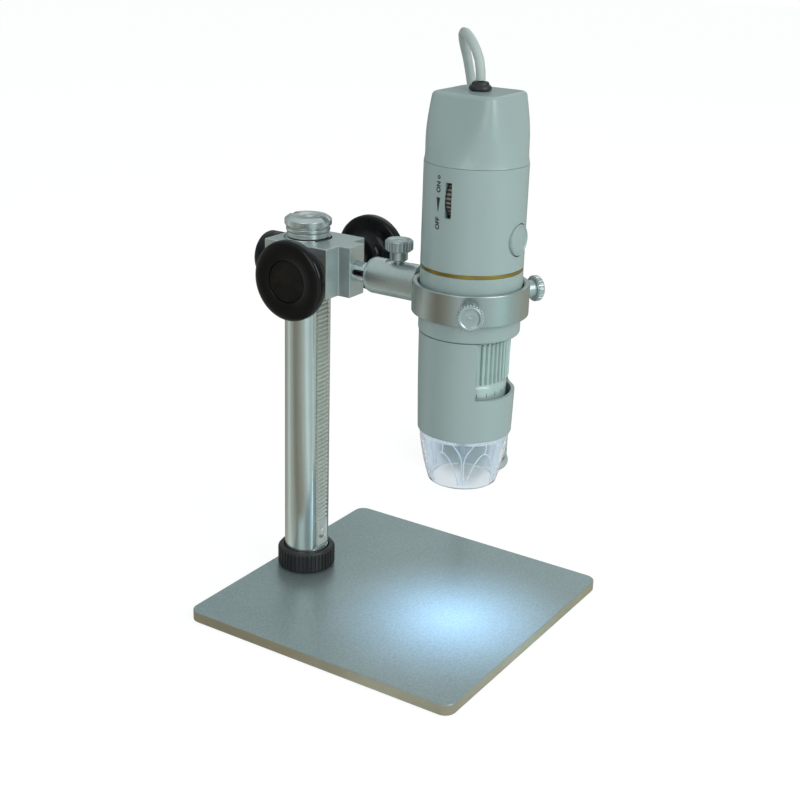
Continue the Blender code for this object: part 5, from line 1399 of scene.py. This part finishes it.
    def collar(self) -> None:
        """The black collar, ribbed all round for the fingers."""
        inner, root, tip, height = 8.3, 10.05, 10.5, 7.8
        profile = [(inner, 0), (root - 0.3, 0), (root, 0.3), (root, height - 0.7)]
        profile += [(root - 0.4, height), (inner, height)]
        collar = turned("ribbed_collar", profile, 112, 0.25, closed=True)
        half = math.pi / self.collar_ribs * 0.5
        flank = [(root - 0.3, half * 1.2), (tip - 0.12, half), (tip, half * 0.6)]
        around = [(radius, -angle) for radius, angle in flank] + flank[::-1]
        outline = [(radius * math.cos(angle), radius * math.sin(angle)) for radius, angle in around]
        sections = []
        for z, pull in ((0.25, 0.4), (0.65, 0.0), (height - 1.1, 0.0), (height - 0.55, 0.5)):
            scale = 1 - pull / tip
            sections.append([(x * scale, y * scale, z) for x, y in outline])
        collar.repeat(loft(sections), self.collar_ribs, SOFT_BLACK, turn=(0, 0, FULL / self.collar_ribs))
        collar.place((self.column_x, 0, self.column_foot)).dress(SOFT_BLACK, Body.COLLAR, "column_collar")

    def build(self) -> None:
        """Make the whole stand."""
        self.plate()
        self.column()
        self.rack()
        self.cap()
        self.collar()


@dataclass
class Carriage:
    """The block that slides on the column, with its knobs and its lock."""

    column_x: float = COLUMN_X
    pinion_x: float = -31.075
    arm_z: float = ARM_Z
    foot: float = 111.0
    height: float = 17.4
    back: float = -51.5
    front: float = -25.575
    nose: float = -20.875
    half_width: float = 11.25
    boss_half: float = 4.3
    column_bore: float = 8.3
    cross_bore: float = 4.3
    arm_bore: float = 3.56
    lock_bore: float = 2.3
    screw_bore: float = 1.8
    knob_gap: float = 12.85
    knob_radius: float = 13.5
    knob_length: float = 13.2

    def block(self) -> None:
        """The block itself, with its bores and the boss for the arm."""
        side, boss = self.half_width, self.boss_half
        outline = [(self.back, -side), (self.front, -side), (self.front, -boss), (self.nose, -boss)]
        outline += [(self.nose, boss), (self.front, boss), (self.front, side), (self.back, side)]
        top = self.foot + self.height
        body = Solid("slide_block", prism(outline, self.foot, top))
        body.soften(0.4, 3)
        line = (0, 0, self.arm_z)
        body.bore(self.column_bore, self.foot - 2, top + 2, Axis.UP, (self.column_x, 0, 0), 96)
        body.bore(self.cross_bore, -side - 2, side + 2, Axis.Y, (self.pinion_x, 0, self.arm_z))
        body.bore(self.arm_bore, self.nose - 5.1, self.nose + 2, Axis.X, line)
        body.bore(self.lock_bore, self.back - 2, self.column_x - 4, Axis.X, line)
        body.bore(self.screw_bore, -2, 8.7, Axis.UP, (self.nose - 2.35, 0, self.foot))
        body.dress(ZINC, Body.CARRIAGE, "carriage_block", smooth=10.0)

    def bushes(self) -> None:
        """The two flanged bushes of the pinion's shaft, painted dark as the shade under the knobs."""
        profile = [(2.3, 3.0), (4.0, 3.0), (4.0, 11.55), (5.5, 11.55), (5.5, 12.55), (2.3, 12.55)]
        for name, axis in (("front", Axis.MINUS_Y), ("rear", Axis.Y)):
            bush = turned("brass_bush_" + name, profile, 64, 0.2, closed=True)
            bush.place((self.pinion_x, 0, self.arm_z), axis)
            bush.dress(BUSH_PAINTED_SHADE, Body.CARRIAGE, "shaft_bush_" + name)

    def knobs(self) -> None:
        """The two big glossy knobs and the disc in each one's face."""
        length, rim = self.knob_length, self.knob_radius
        rim_foot = length - 4.2
        profile = [
            (0, 9.3), (2.3, 9.3), (2.3, 0), (4.7, 0), (5.0, 0.3), (5.1, 2.6), (5.25, 4.3),
            (5.6, 5.7), (6.2, 7.0), (7.2, 8.0), (8.6, 8.6), (10.4, 8.9), (rim - 1.1, rim_foot),
            (rim - 0.45, rim_foot + 0.25), (rim - 0.12, rim_foot + 0.65), (rim, rim_foot + 1.1),
            (rim, length - 1.5), (rim - 0.12, length - 0.95), (rim - 0.5, length - 0.5),
            (rim - 1.2, length - 0.2), (rim - 2.2, length - 0.08), (7.4, length), (7.2, length - 0.12),
            (7.2, length - 1.5), (0, length - 1.5),
        ]
        disc = [(0, length - 1.2), (6.9, length - 1.2), (6.9, length - 0.2)]
        disc += [(5.0, length - 0.34), (0, length - 0.4)]
        for name, sign, axis in (("front", -1, Axis.MINUS_Y), ("rear", 1, Axis.Y)):
            at = (self.pinion_x, sign * self.knob_gap, self.arm_z)
            knob = turned("gloss_knob_" + name, profile, 128)
            knob.place(at, axis).dress(GLOSS_BLACK, Body.PINION, "pinion_knob_" + name, smooth=40.0)
            # The disc's brownish blotches are painted reflection.
            face = turned("knob_disc_" + name, disc, 96, 0.12)
            face.place(at, axis).dress(DISC_BLACK_PAINTED_REFLECTION, Body.PINION, "knob_cap_" + name)

    def lock(self) -> None:
        """The lock knob behind the block."""
        radius, face = 8.3, 7.5
        profile = [
            (0, 5.2), (2.3, 5.2), (2.3, 1.5), (radius - 0.8, 1.5), (radius - 0.2, 1.8), (radius, 2.3),
            (radius, face - 1.2), (radius - 0.4, face - 0.4), (radius - 1.3, face), (0, face + 0.2),
        ]
        knob = turned("lock_disc", profile, 96)
        knob.place((self.back, 0, self.arm_z), Axis.MINUS_X)
        knob.dress(GLOSS_BLACK, Body.LOCK, "lock_knob", smooth=50.0)

    def build(self) -> None:
        """Make the whole carriage."""
        self.block()
        self.bushes()
        self.knobs()
        self.lock()


@dataclass
class Clamp:
    """The arm rod, its socket, the ring round the microscope and the thumb screws."""

    arm_z: float = ARM_Z
    arm_start: float = -25.675
    arm_end: float = -1.375
    arm_radius: float = 3.5
    socket_x: float = -15.875
    socket_radius: float = 6.1
    ring_inner: float = 16.9
    ring_outer: float = 18.9
    ring_z: float = 119.05
    ring_height: float = 10.1
    scope_x: float = SCOPE_X
    screw_x: float = -4.275
    arm_bore: float = 3.56
    screw_bore: float = 1.8
    seat_bore: float = 4.4
    ring_bore: float = 4.3
    screw_turn: float = math.pi / 3
    flutes: int = 26

    def rod(self) -> None:
        """The polished arm rod."""
        start, end, radius = self.arm_start, self.arm_end, self.arm_radius
        profile = [(0, start), (radius, start), (radius, end), (0, end)]
        rod = turned("chromed_rod", profile, 96, 0.5, segments=4)
        rod.place((0, 0, self.arm_z), Axis.X).dress(CHROME, Body.ARM, "arm_rod")

    def socket(self) -> None:
        """The socket, saddled to the ring, with its bore and its flat for the screw."""
        radius = self.socket_radius
        profile = [(0, 0.6), (radius - 1.9, 0.6), (radius - 1.2, 0.75), (radius - 0.6, 1.15)]
        profile += [(radius - 0.2, 1.8), (radius, 2.6), (radius, 3.2), (radius, 23.4), (0, 23.4)]
        socket = Solid("arm_socket", laid(lathe(profile, 96), Axis.X))
        away = self.scope_x - self.socket_x
        screw = (self.screw_x - self.socket_x, 0, 0)
        socket.bore(self.ring_outer + 0.3, -12, 12, Axis.UP, (away, 0, 0), 160)
        socket.change(laid(bar(4.0, 19.1, away - self.ring_inner - 0.3), Axis.X), Cut.JOIN)
        socket.bore(self.arm_bore, -1, 18.1, Axis.X)
        socket.bore(self.screw_bore, 0, radius + 1, Axis.UP, screw, 32)
        socket.bore(self.seat_bore, radius - 0.6, radius + 3, Axis.UP, screw, 64)
        socket.place((self.socket_x, 0, self.arm_z))
        socket.dress(ZINC, Body.CLAMP, "clamp_socket", smooth=26.0)

    def ring(self) -> None:
        """The ring, with its bright edges and its three holes."""
        half = self.ring_height / 2
        profile = [
            (self.ring_inner, -half + 0.5), (self.ring_inner + 0.5, -half), (self.ring_outer - 0.25, -half),
            (self.ring_outer, -half + 0.25), (self.ring_outer, half - 0.25), (self.ring_outer - 0.25, half),
            (self.ring_inner + 0.5, half), (self.ring_inner, half - 0.5),
        ]
        ring = turned("holding_ring", profile, 160, 0.1, segments=2, closed=True)
        height = (0, 0, self.arm_z - self.ring_z)
        ring.bore(self.ring_bore, self.ring_inner - 2, self.ring_outer + 1, Axis.MINUS_X, height)
        for side in (-1, 1):
            hole = laid(bar(self.screw_bore, self.ring_inner - 2, self.ring_outer + 2, 32), Axis.X)
            ring.change(laid(hole, round_z(side * self.screw_turn)))
        ring.place((self.scope_x, 0, self.ring_z)).dress(SATIN, Body.CLAMP, "clamp_ring", smooth=26.0)

    def thumb_screw(self, name: str, sizes: tuple[float, ...]) -> Solid:
        """A thumb screw along Z with a fluted rim and a dished, turned head.

        Args:
            name: The piece's name.
            sizes: Stem foot, seat, neck radius, neck height, head radius, head height.

        Returns:
            The screw before it is placed.
        """
        foot, seat, neck, neck_height, head, head_height = sizes
        neck_top = seat + neck_height
        top = neck_top + head_height
        core = head - 0.28
        profile = [
            (0, foot), (1.5, foot), (1.5, seat), (neck - 0.3, seat), (neck, seat + 0.35),
            (neck, neck_top - 0.3), (neck + 0.3, neck_top), (core - 0.4, neck_top), (core, neck_top + 0.4),
            (core, top - 0.4), (core - 0.35, top), (0.74 * head, top), (0.66 * head, top - 0.28),
            (0.50 * head, top - 0.40), (0.34 * head, top - 0.42), (0.28 * head, top - 0.34),
            (0.20 * head, top - 0.42), (0.1 * head, top - 0.30), (0, top - 0.10),
        ]
        screw = turned(name, profile, 96, 0.12, segments=2)
        radius = math.pi * core / self.flutes * 0.62
        round_end = [(0, neck_top + 0.35), (radius, neck_top + 0.6), (radius, top - 0.6), (0, top - 0.3)]
        flute = laid(lathe(round_end, 10), Axis.UP, (head - radius, 0, 0))
        return screw.repeat(flute, self.flutes, HEAD, turn=(0, 0, FULL / self.flutes))

    def screws(self) -> None:
        """One screw on the socket and two on the ring."""
        screw = self.thumb_screw("socket_hand_screw", (3.8, 6.6, 3.0, 3.2, 4.7, 3.8))
        screw.place((self.screw_x, 0, self.arm_z)).dress(HEAD, Body.SOCKET_SCREW, "socket_thumb_screw")
        for name, side, body in (("front", -1, Body.RING_SCREW_FRONT), ("rear", 1, Body.RING_SCREW_REAR)):
            screw = self.thumb_screw("ring_hand_screw_" + name, (16.8, 19.2, 2.9, 4.0, 4.3, 2.8))
            turn = round_z(side * self.screw_turn) @ Axis.X.value
            screw.place((self.scope_x, 0, self.ring_z), turn).dress(HEAD, body, "ring_thumb_screw_" + name)

    def build(self) -> None:
        """Make the whole clamp."""
        self.rod()
        self.socket()
        self.ring()
        self.screws()


@dataclass
class Housing:
    """The microscope's upper housing, its cap, band, gland, button, wheel and print."""

    x: float = SCOPE_X
    seam: float = SEAM_Z
    radius: float = 16.5
    wall: float = 1.8
    length: float = 54.7
    top_length: float = 21.5
    top_half: float = 11.4
    top_round: float = 1.2
    spigot_radius: float = 14.4
    spigot_bore: float = 13.2
    spigot_length: float = 2.0
    cable_hole: float = 2.7
    facets: int = 160
    print_angle: float = -103.0
    band: float = 21.6
    button: float = 32.1
    button_bore: float = 5.3
    wheel: float = 44.8
    wheel_y: float = -9.6
    wheel_radius: float = 6.75
    slot: tuple[float, float] = (2.3, 11.1)
    ridges: int = 32

    def shell(self) -> None:
        """The painted housing with its groove, button hole and wheel slot."""
        outer, inner = self.radius, self.radius - self.wall
        low, high = self.band - 0.62, self.band + 0.62
        profile = [
            (inner, 0), (outer - 0.8, 0), (outer - 0.42, 0.1), (outer - 0.14, 0.4), (outer - 0.03, 0.8),
            (outer, 1.2), (outer, low), (outer - 0.8, low), (outer - 0.8, high), (outer, high),
            (outer, self.length + 0.12), (inner, self.length + 0.12),
        ]
        shell = turned("painted_housing", profile, self.facets, 0.14, closed=True)
        shell.bore(self.button_bore, inner - 6, outer + 2, Axis.X, (0, 0, self.button), 64)
        slot = prism(rounded_rectangle(*self.slot, 0.35, 3), 0, 8)
        shell.change(laid(slot, Axis.MINUS_Y, (0, -outer + 4, self.wheel)))
        shell.place((self.x, 0, self.seam)).dress(PAINT, Body.SCOPE, "main_housing", smooth=30.0)

    def line(self) -> None:
        """The thin gold band."""
        low, high, tip = self.band - 0.56, self.band + 0.56, self.radius - 0.04
        profile = [(16.0, low), (tip, low), (tip, high), (16.0, high)]
        band = turned("gold_ring", profile, self.facets, 0.1, closed=True)
        band.place((self.x, 0, self.seam)).dress(GOLD, Body.SCOPE, "gold_band")

    def outline(self, height: float, inset: float = 0.0) -> Ring:
        """The cap's outline at a height, which goes from round to nearly square."""
        foot = self.length + 0.2
        share = min(max((height - foot) / (self.top_length - 0.2), 0.0), 1.0)
        reach = self.radius - (self.radius - self.top_half) * share**0.82
        power = 2 + 6.0 * share**1.5
        ring = []
        for k in range(self.facets):
            angle = FULL * k / self.facets
            spread = abs(math.cos(angle)) ** power + abs(math.sin(angle)) ** power
            radius = reach / spread ** (1 / power) - inset
            ring.append((radius * math.cos(angle), radius * math.sin(angle), height))
        return ring

    def circle(self, radius: float, height: float) -> Ring:
        """A ring with as many points as the cap's outline."""
        angles = [FULL * k / self.facets for k in range(self.facets)]
        return [(radius * math.cos(a), radius * math.sin(a), height) for a in angles]

    def cap(self) -> None:
        """The lofted cap: round at the seam, a soft square at the top."""
        foot = self.length + 0.2
        head = self.length + self.top_length
        spigot, hole, curve, wall = self.spigot_radius, self.cable_hole, self.top_round, self.wall
        below = foot - self.spigot_length
        sections = [self.circle(spigot, below), self.circle(spigot, foot), self.outline(foot, 0.12)]
        sections += [self.outline(foot + 0.04, 0.03), self.outline(foot + 0.2)]
        sections += [self.outline(foot + k * (head - foot) / 12) for k in range(1, 12)]
        for step in range(7):
            angle = math.pi / 2 * step / 6
            height = head - curve * (1 - math.sin(angle))
            sections.append(self.outline(height, curve * (1 - math.cos(angle))))
        sections += [self.outline(head, 1.5), self.circle(4.2, head), self.circle(hole, head)]
        sections += [self.circle(hole, head - wall), self.outline(head - wall, wall)]
        sections += [self.outline(foot + 8, wall), self.circle(self.spigot_bore, foot + 0.9)]
        sections += [self.circle(self.spigot_bore, below)]
        cap = Solid("square_top", loft(sections, closed=True))
        cap.place((self.x, 0, self.seam)).dress(PAINT, Body.SCOPE, "top_cap", smooth=50.0)

    def gland(self) -> None:
        """The black grommet where the cable leaves."""
        head = self.length + self.top_length
        profile = [
            (0, head - 3.3), (3.6, head - 3.3), (3.6, head - 2.1), (2.4, head - 2.1), (2.4, head + 0.3),
            (3.4, head + 0.3), (3.55, head + 0.5), (3.55, head + 1.0), (3.3, head + 1.5), (2.9, head + 1.75),
            (2.75, head + 1.95), (2.6, head + 2.5), (2.1, head + 2.8), (0, head + 2.8),
        ]
        gland = turned("cable_grommet", profile, 64, 0.12, segments=2)
        gland.place((self.x, 0, self.seam)).dress(SOFT_BLACK, Body.SCOPE, "cable_gland")

    def snap(self) -> None:
        """The round snapshot button, with a raised rim."""
        low, high = (corner[0] / MM - self.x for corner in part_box("snap_button"))
        profile = [
            (0, low), (6.2, low), (6.2, low + 0.8), (5.0, low + 0.8), (5.0, 16.4), (4.9, 16.7),
            (4.7, 16.85), (4.5, 16.85), (4.3, 16.7), (4.15, 16.55), (3.9, 16.6), (3.0, 16.78),
            (0, min(16.9, high)),
        ]
        button = turned("round_button", profile, 96)
        button.place((self.x, 0, self.seam + self.button), Axis.X)
        button.dress(PAINT, Body.BUTTON, "snap_button", smooth=35.0)

    def thumb_wheel(self) -> None:
        """The ridged brightness wheel with its axle."""
        core, half = self.wheel_radius, 0.9
        profile = [(0, -half), (core - 0.3, -half), (core, -half + 0.3), (core, half - 0.3)]
        profile += [(core - 0.3, half), (1.0, half), (1.0, half + 4.2), (0, half + 4.2)]
        at = (self.x, self.wheel_y, self.seam + self.wheel)
        wheel = turned("wheel_core", profile, 96, 0.1, segments=2)
        wheel.place(at, Axis.X).dress(WHEEL_TAN, Body.WHEEL, "brightness_wheel")
        flank = [(core - 0.2, 0.34), (7.1, 0.28), (7.2, 0.16)]
        ridge = [(radius, -side) for radius, side in flank] + flank[::-1]
        unit = prism(ridge, -half + 0.02, half - 0.02)
        ridges = Solid("wheel_ridges", unit.copy())
        ridges.repeat(unit, self.ridges, SOFT_BLACK, turn=(0, 0, FULL / self.ridges))
        ridges.place(at, Axis.X).dress(SOFT_BLACK, Body.WHEEL)

    def wrap(self, mesh: bpy.types.Mesh, lift: float) -> None:
        """Lay a flat mark on the housing: its X becomes height, and its Y goes round."""
        for vertex in mesh.vertices:
            height, across, up = vertex.co
            angle = math.radians(self.print_angle) - across / self.radius
            radius = self.radius + lift + up
            vertex.co = (self.x + radius * math.cos(angle), radius * math.sin(angle), self.seam + height)

    def word(self, text: str, size: float) -> bmesh.types.BMesh:
        """A word as a thin slab along X, centred on the origin."""
        data = bpy.data.curves.new("word_" + text, "FONT")
        data.body = text
        data.size = size
        data.align_x = "CENTER"
        data.align_y = "CENTER"
        data.offset = 0.07
        data.extrude = 0.02
        obj = add_object("word_" + text, data)
        mesh = made_mesh(obj)
        bpy.data.objects.remove(obj)
        shape = bmesh.new()
        shape.from_mesh(mesh)
        bpy.data.meshes.remove(mesh)
        bmesh.ops.remove_doubles(shape, verts=shape.verts, dist=0.001)
        return shape

    def marks(self) -> None:
        """The printed scale beside the wheel: OFF, a wedge, ON and a dot."""
        wedge = prism([(-2.15, -0.08), (2.15, -0.72), (2.15, 0.72), (-2.15, 0.08)], -0.02, 0.02)
        dot = lathe([(0.28, -0.02), (0.58, -0.02), (0.58, 0.02), (0.28, 0.02)], 24, closed=True)
        shapes = {
            "print_off": (self.word("OFF", 2.2), 37.3),
            "print_wedge": (wedge, 43.2),
            "print_on": (self.word("ON", 2.2), 48.6),
            "print_dot": (dot, 51.6),
        }
        for name, (shape, height) in shapes.items():
            bmesh.ops.triangulate(shape, faces=shape.faces)
            mark = Solid(name, laid(shape, Axis.UP, (height, 0, 0)))
            self.wrap(mark.obj.data, 0.03)
            mark.dress(PRINT, Body.SCOPE)

    def build(self) -> None:
        """Make the whole housing."""
        self.shell()
        self.line()
        self.cap()
        self.gland()
        self.snap()
        self.thumb_wheel()
        self.marks()


@dataclass
class FocusUnit:
    """The lower sleeve with its window, the ribbed drum and the clear nose."""

    x: float = SCOPE_X
    seam: float = SEAM_Z
    foot: float = -33.8
    top_radius: float = 16.2
    foot_radius: float = 15.5
    bulge: float = 0.12
    wall: float = 1.2
    window_depth: float = 19.5
    window_half: float = 12.2
    window_far: float = 13.8
    drum_radius: float = 13.8
    drum_bore: float = 9.0
    drum_top: float = -1.2
    drum_length: float = 22.4
    drum_band: float = 9.2
    rib_rise: float = 0.7
    drum_ribs: int = 46
    drum_marks: int = 24
    nose_length: float = 18.0
    nose_top: float = 14.9
    nose_foot: float = 11.4
    nose_bulge: float = 0.55
    nose_wall: float = 1.1
    petals: int = 6
    lamps: int = 8
    lamp_circle: float = 11.0
    guide_radius: float = 0.2
    guide_depth: float = 0.7
    arch_peak: float = 0.745
    arch_foot: float = 0.10
    arch_half: float = 24.0

    def sleeve_radius(self, height: float, inset: float = 0.0) -> float:
        """The sleeve's outer radius at a height below the seam."""
        share = (height - self.foot) / -self.foot
        straight = self.foot_radius + (self.top_radius - self.foot_radius) * share
        return straight + self.bulge * math.sin(math.pi * share) - inset

    def sleeve(self) -> None:
        """The sleeve, its spigot and its window with a soft rim."""
        top = -0.12
        shares = (0, 0.1, 0.25, 0.4, 0.55, 0.7, 0.85, 1)
        stations = [self.foot + share * (top - self.foot) for share in shares]
        profile = [(self.sleeve_radius(z), z) for z in stations]
        profile += [(14.4, top), (14.4, 3.2), (13.0, 3.2), (13.0, top - 0.6)]
        profile += [(self.sleeve_radius(top - 0.6, self.wall), top - 0.6)]
        profile += [(self.sleeve_radius(z, self.wall), z) for z in (-10.0, -20.0, self.foot)]
        sleeve = turned("painted_sleeve", profile, 160, 0.25, closed=True)
        width = self.window_half + self.window_far
        outline = rounded_rectangle(2 * self.window_depth, width, 1.2, 6)
        window = laid(prism(outline, 5, 20), Axis.X, (0, (self.window_far - self.window_half) / 2, 0))
        bmesh.ops.bisect_plane(
            window,
            geom=window.verts[:] + window.edges[:] + window.faces[:],
            plane_co=(0, 0, 0),
            plane_no=(0, 0, 1),
            clear_outer=True,
        )
        bmesh.ops.contextual_create(window, geom=[e for e in window.edges if e.is_boundary])
        bmesh.ops.recalc_face_normals(window, faces=window.faces)
        sleeve.change(window)
        sleeve.soften(0.55, 4, 42.0)
        sleeve.place((self.x, 0, self.seam)).dress(PAINT, Body.SCOPE, "lower_sleeve", hardened=True)

    def drum(self) -> None:
        """The focus drum: a plain lower band and a row of round-ended ribs above."""
        top, inner = self.drum_top, self.drum_bore
        foot = top - self.drum_length
        rib_foot = foot + self.drum_band
        root = self.drum_radius - self.rib_rise
        profile = [(inner, foot), (root - 0.3, foot), (root, foot + 0.3), (root, rib_foot - 1.6)]
        profile += [(root - 0.35, rib_foot - 1.3), (root - 0.35, top), (inner, top)]
        drum = turned("ribbed_drum", profile, 138, 0.15, segments=2, closed=True)
        wide = math.pi * self.drum_radius / self.drum_ribs * 0.40
        sections = []
        swell = [(rib_foot - 0.6, 0.0), (rib_foot - 0.35, 0.6), (rib_foot, 0.9)]
        swell += [(rib_foot + 0.5, 1.0), (top - 0.1, 1.0)]
        for z, share in swell:
            rise = 0.35 + self.rib_rise * share
            width = wide * (0.5 + 0.5 * share)
            row = []
            for k in range(9):
                angle = math.pi * k / 8
                row.append((root - 0.4 + rise * math.sin(angle), -width * math.cos(angle), z))
            sections.append(row)
        drum.repeat(loft(sections), self.drum_ribs, DRUM_SILVER, turn=(0, 0, FULL / self.drum_ribs))
        drum.place((self.x, 0, self.seam)).dress(DRUM_SILVER, Body.FOCUS, "focus_drum", smooth=40.0)
        tick = block((root - 0.01, -0.1, rib_foot - 4.8), (root + 0.03, 0.1, rib_foot - 3.4))
        ticks = Solid("drum_ticks", tick.copy())
        ticks.repeat(tick, self.drum_marks, MARK_BROWN, turn=(0, 0, FULL / self.drum_marks))
        ticks.place((self.x, 0, self.seam)).dress(MARK_BROWN, Body.FOCUS)

    def nose_radius(self, height: float, inset: float = 0.0) -> float:
        """The nose's outer radius at a height."""
        high = self.foot - 0.3
        share = (high - height) / (self.nose_length - 0.3)
        straight = self.nose_top + (self.nose_foot - self.nose_top) * share
        return straight + self.nose_bulge * math.sin(math.pi * share) - inset

    def nose(self) -> None:
        """The clear nose, open below, with its spigot in the sleeve."""
        foot = self.foot - self.nose_length
        high = self.foot - 0.3
        stations = [foot + share * (high - foot) for share in (0, 0.08, 0.2, 0.35, 0.5, 0.65, 0.8, 0.92, 1)]
        profile = [(self.nose_radius(z), z) for z in stations]
        profile += [(14.0, high), (14.0, self.foot + 5), (12.9, self.foot + 5), (12.9, high)]
        profile += [(self.nose_radius(z, self.nose_wall), z) for z in reversed(stations[:-1])]
        nose = turned("clear_nose", profile, 128, 0.2, closed=True)
        nose.place((self.x, 0, self.seam))
        obj = nose.dress(CLEAR, Body.SCOPE, "nose_cap", smooth=30.0)
        obj.data.materials.append(FROST.material())
        for face in obj.data.polygons:
            outward = Vector((face.center.x - self.x * MM, face.center.y))
            face.material_index = int(outward.dot(Vector(face.normal.xy)) < 0)

    def on_bore(self, offset: float, share: float) -> Vector:
        """A point inside the nose's wall, by degrees round it and share of its height."""
        height = self.foot - self.nose_length + share * (self.nose_length - 0.3)
        radius = self.nose_radius(height, self.guide_depth)
        angle = math.radians(offset)
        return Vector((radius * math.cos(angle), radius * math.sin(angle), height))

    def arch(self) -> list[Vector]:
        """The edge of one light guide: up one leg, over its peak and down the other."""
        row = []
        for k in range(-24, 25):
            way = k / 24
            share = self.arch_peak - (self.arch_peak - self.arch_foot) * abs(way) ** 1.8
            row.append(self.on_bore(self.arch_half * math.copysign(abs(way) ** 0.9, way), share))
        return row

    def stem(self) -> list[Vector]:
        """The line from a guide's peak up to the lamps."""
        return [self.on_bore(1.5 * math.sin(math.pi * k / 8), self.arch_peak + k * 0.029) for k in range(8)]

    def valley(self) -> list[Vector]:
        """The line between two guides: from above down a narrow channel, round and up again."""
        half = 180 / self.petals
        side = [(15.5, 0.97), (10.5, 0.87), (6.0, 0.78), (3.0, 0.68), (1.5, 0.57), (1.6, 0.40), (2.2, 0.22)]
        side += [(2.4, 0.15), (1.6, 0.10)]
        row = [(half - away, share) for away, share in side] + [(half, 0.085)]
        row += [(half + away, share) for away, share in reversed(side)]
        return smooth_route([self.on_bore(offset, share) for offset, share in row], 0.6)

    def guides(self) -> None:
        """The moulded edges of the light guides, with a bead at each peak and foot; lines and beads carry a
        painted glow for glints.
        """
        unit = bmesh.new()
        for path in (self.arch(), self.stem(), self.valley()):
            line = Sweeps.tube("guide_line", path, self.guide_radius, 8, GUIDE_PAINTED_GLOW)
            unit.from_mesh(line.data)
            bpy.data.objects.remove(line)
        # Each bead is a painted glint: a small glowing sphere where a guide's edge catches the light.
        feet = (self.arch()[0], self.arch()[-1])
        for point in (self.on_bore(0, self.arch_peak), *feet):
            bead = bmesh.ops.create_icosphere(unit, subdivisions=2, radius=2 * self.guide_radius)
            bmesh.ops.translate(unit, verts=bead["verts"], vec=point)
        unit.transform(round_z(math.radians(-90)))
        guides = Solid("light_guides", unit.copy())
        guides.repeat(unit, self.petals, GUIDE_PAINTED_GLOW, turn=(0, 0, FULL / self.petals))
        guides.place((self.x, 0, self.seam)).dress(GUIDE_PAINTED_GLOW, Body.SCOPE, smooth=60.0)

    def leds(self) -> None:
        """The ring of lit domes under the board."""
        low = self.foot + 5.3
        dome = [(0, low - 2.1), (0.5, low - 2.0), (0.9, low - 1.7), (1.1, low - 1.2)]
        dome += [(1.1, low + 0.05), (0, low + 0.05)]
        dome_shape = laid(lathe(dome, 24), Axis.UP, (self.lamp_circle, 0, 0))
        unit = laid(dome_shape, round_z(math.pi / self.lamps))
        again = unit.copy()
        lamps = Solid("led_domes", unit)
        lamps.repeat(again, self.lamps, LED, turn=(0, 0, FULL / self.lamps))
        lamps.place((self.x, 0, self.seam)).dress(LED, Body.SCOPE)

    def build(self) -> None:
        """Make the whole lower end."""
        self.sleeve()
        self.drum()
        self.nose()
        self.guides()
        self.leds()


@dataclass
class Inside:
    """CAD solids whose shape is kept, copied with smooth shading and dressed."""

    pieces: dict[str, tuple[Finish, Body]] = field(
        default_factory=lambda: {
            "base_screw": (SCREW, Body.ROOT),
            "rack_screw_lower": (RACK_STEEL, Body.ROOT),
            "rack_screw_upper": (RACK_STEEL, Body.ROOT),
            "arm_set_screw": (SCREW, Body.CARRIAGE),
            "lock_pad": (BRASS, Body.CARRIAGE),
            "pinion_shaft": (SCREW, Body.PINION),
            "lock_screw": (SCREW, Body.LOCK),
            "button_switch": (SOFT_BLACK, Body.SCOPE),
            "brightness_pot": (SOFT_BLACK, Body.SCOPE),
            "sensor_board": (BOARD, Body.SCOPE),
            "main_board": (BOARD, Body.SCOPE),
            "led_board": (BOARD, Body.SCOPE),
            "guide_pin_front": (SCREW, Body.SCOPE),
            "guide_pin_rear": (SCREW, Body.SCOPE),
            "lens_barrel": (SOFT_BLACK, Body.LENS),
            "objective_lens": (GLASS, Body.LENS),
        }
    )

    def build(self, nodes: dict[str, bpy.types.Object]) -> None:
        """Copy, smooth and dress each kept solid.

        Args:
            nodes: The CAD nodes by name.
        """
        for name, (finish, body) in self.pieces.items():
            mesh = nodes[name].data.copy()
            shape = bmesh.new()
            shape.from_mesh(mesh)
            bmesh.ops.remove_doubles(shape, verts=shape.verts, dist=TINY)
            shape.to_mesh(mesh)
            shape.free()
            mesh.shade_smooth()
            mesh.set_sharp_from_angle(angle=math.radians(SMOOTH_ANGLE))
            mesh.materials.clear()
            mesh.materials.append(finish.material())
            ride(add_object(name + "_dressed", mesh), finish, body, name)


def corners() -> list[list[float]]:
    """The shown object's lowest and highest corner as plain lists."""
    return [[float(value) for value in corner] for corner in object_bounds()]


def main() -> None:
    """Build the studio and every sub-assembly."""
    logging.basicConfig(level=logging.INFO, format="%(name)s: %(message)s")
    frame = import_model()
    studio = Studio()
    studio.build()
    Cable().build()
    Stand().build()
    Carriage().build()
    Clamp().build()
    Housing().build()
    FocusUnit().build()
    Inside().build(frame["nodes"])
    studio.nose_light()
    bpy.context.view_layer.update()


if __name__ == "__main__":
    main()
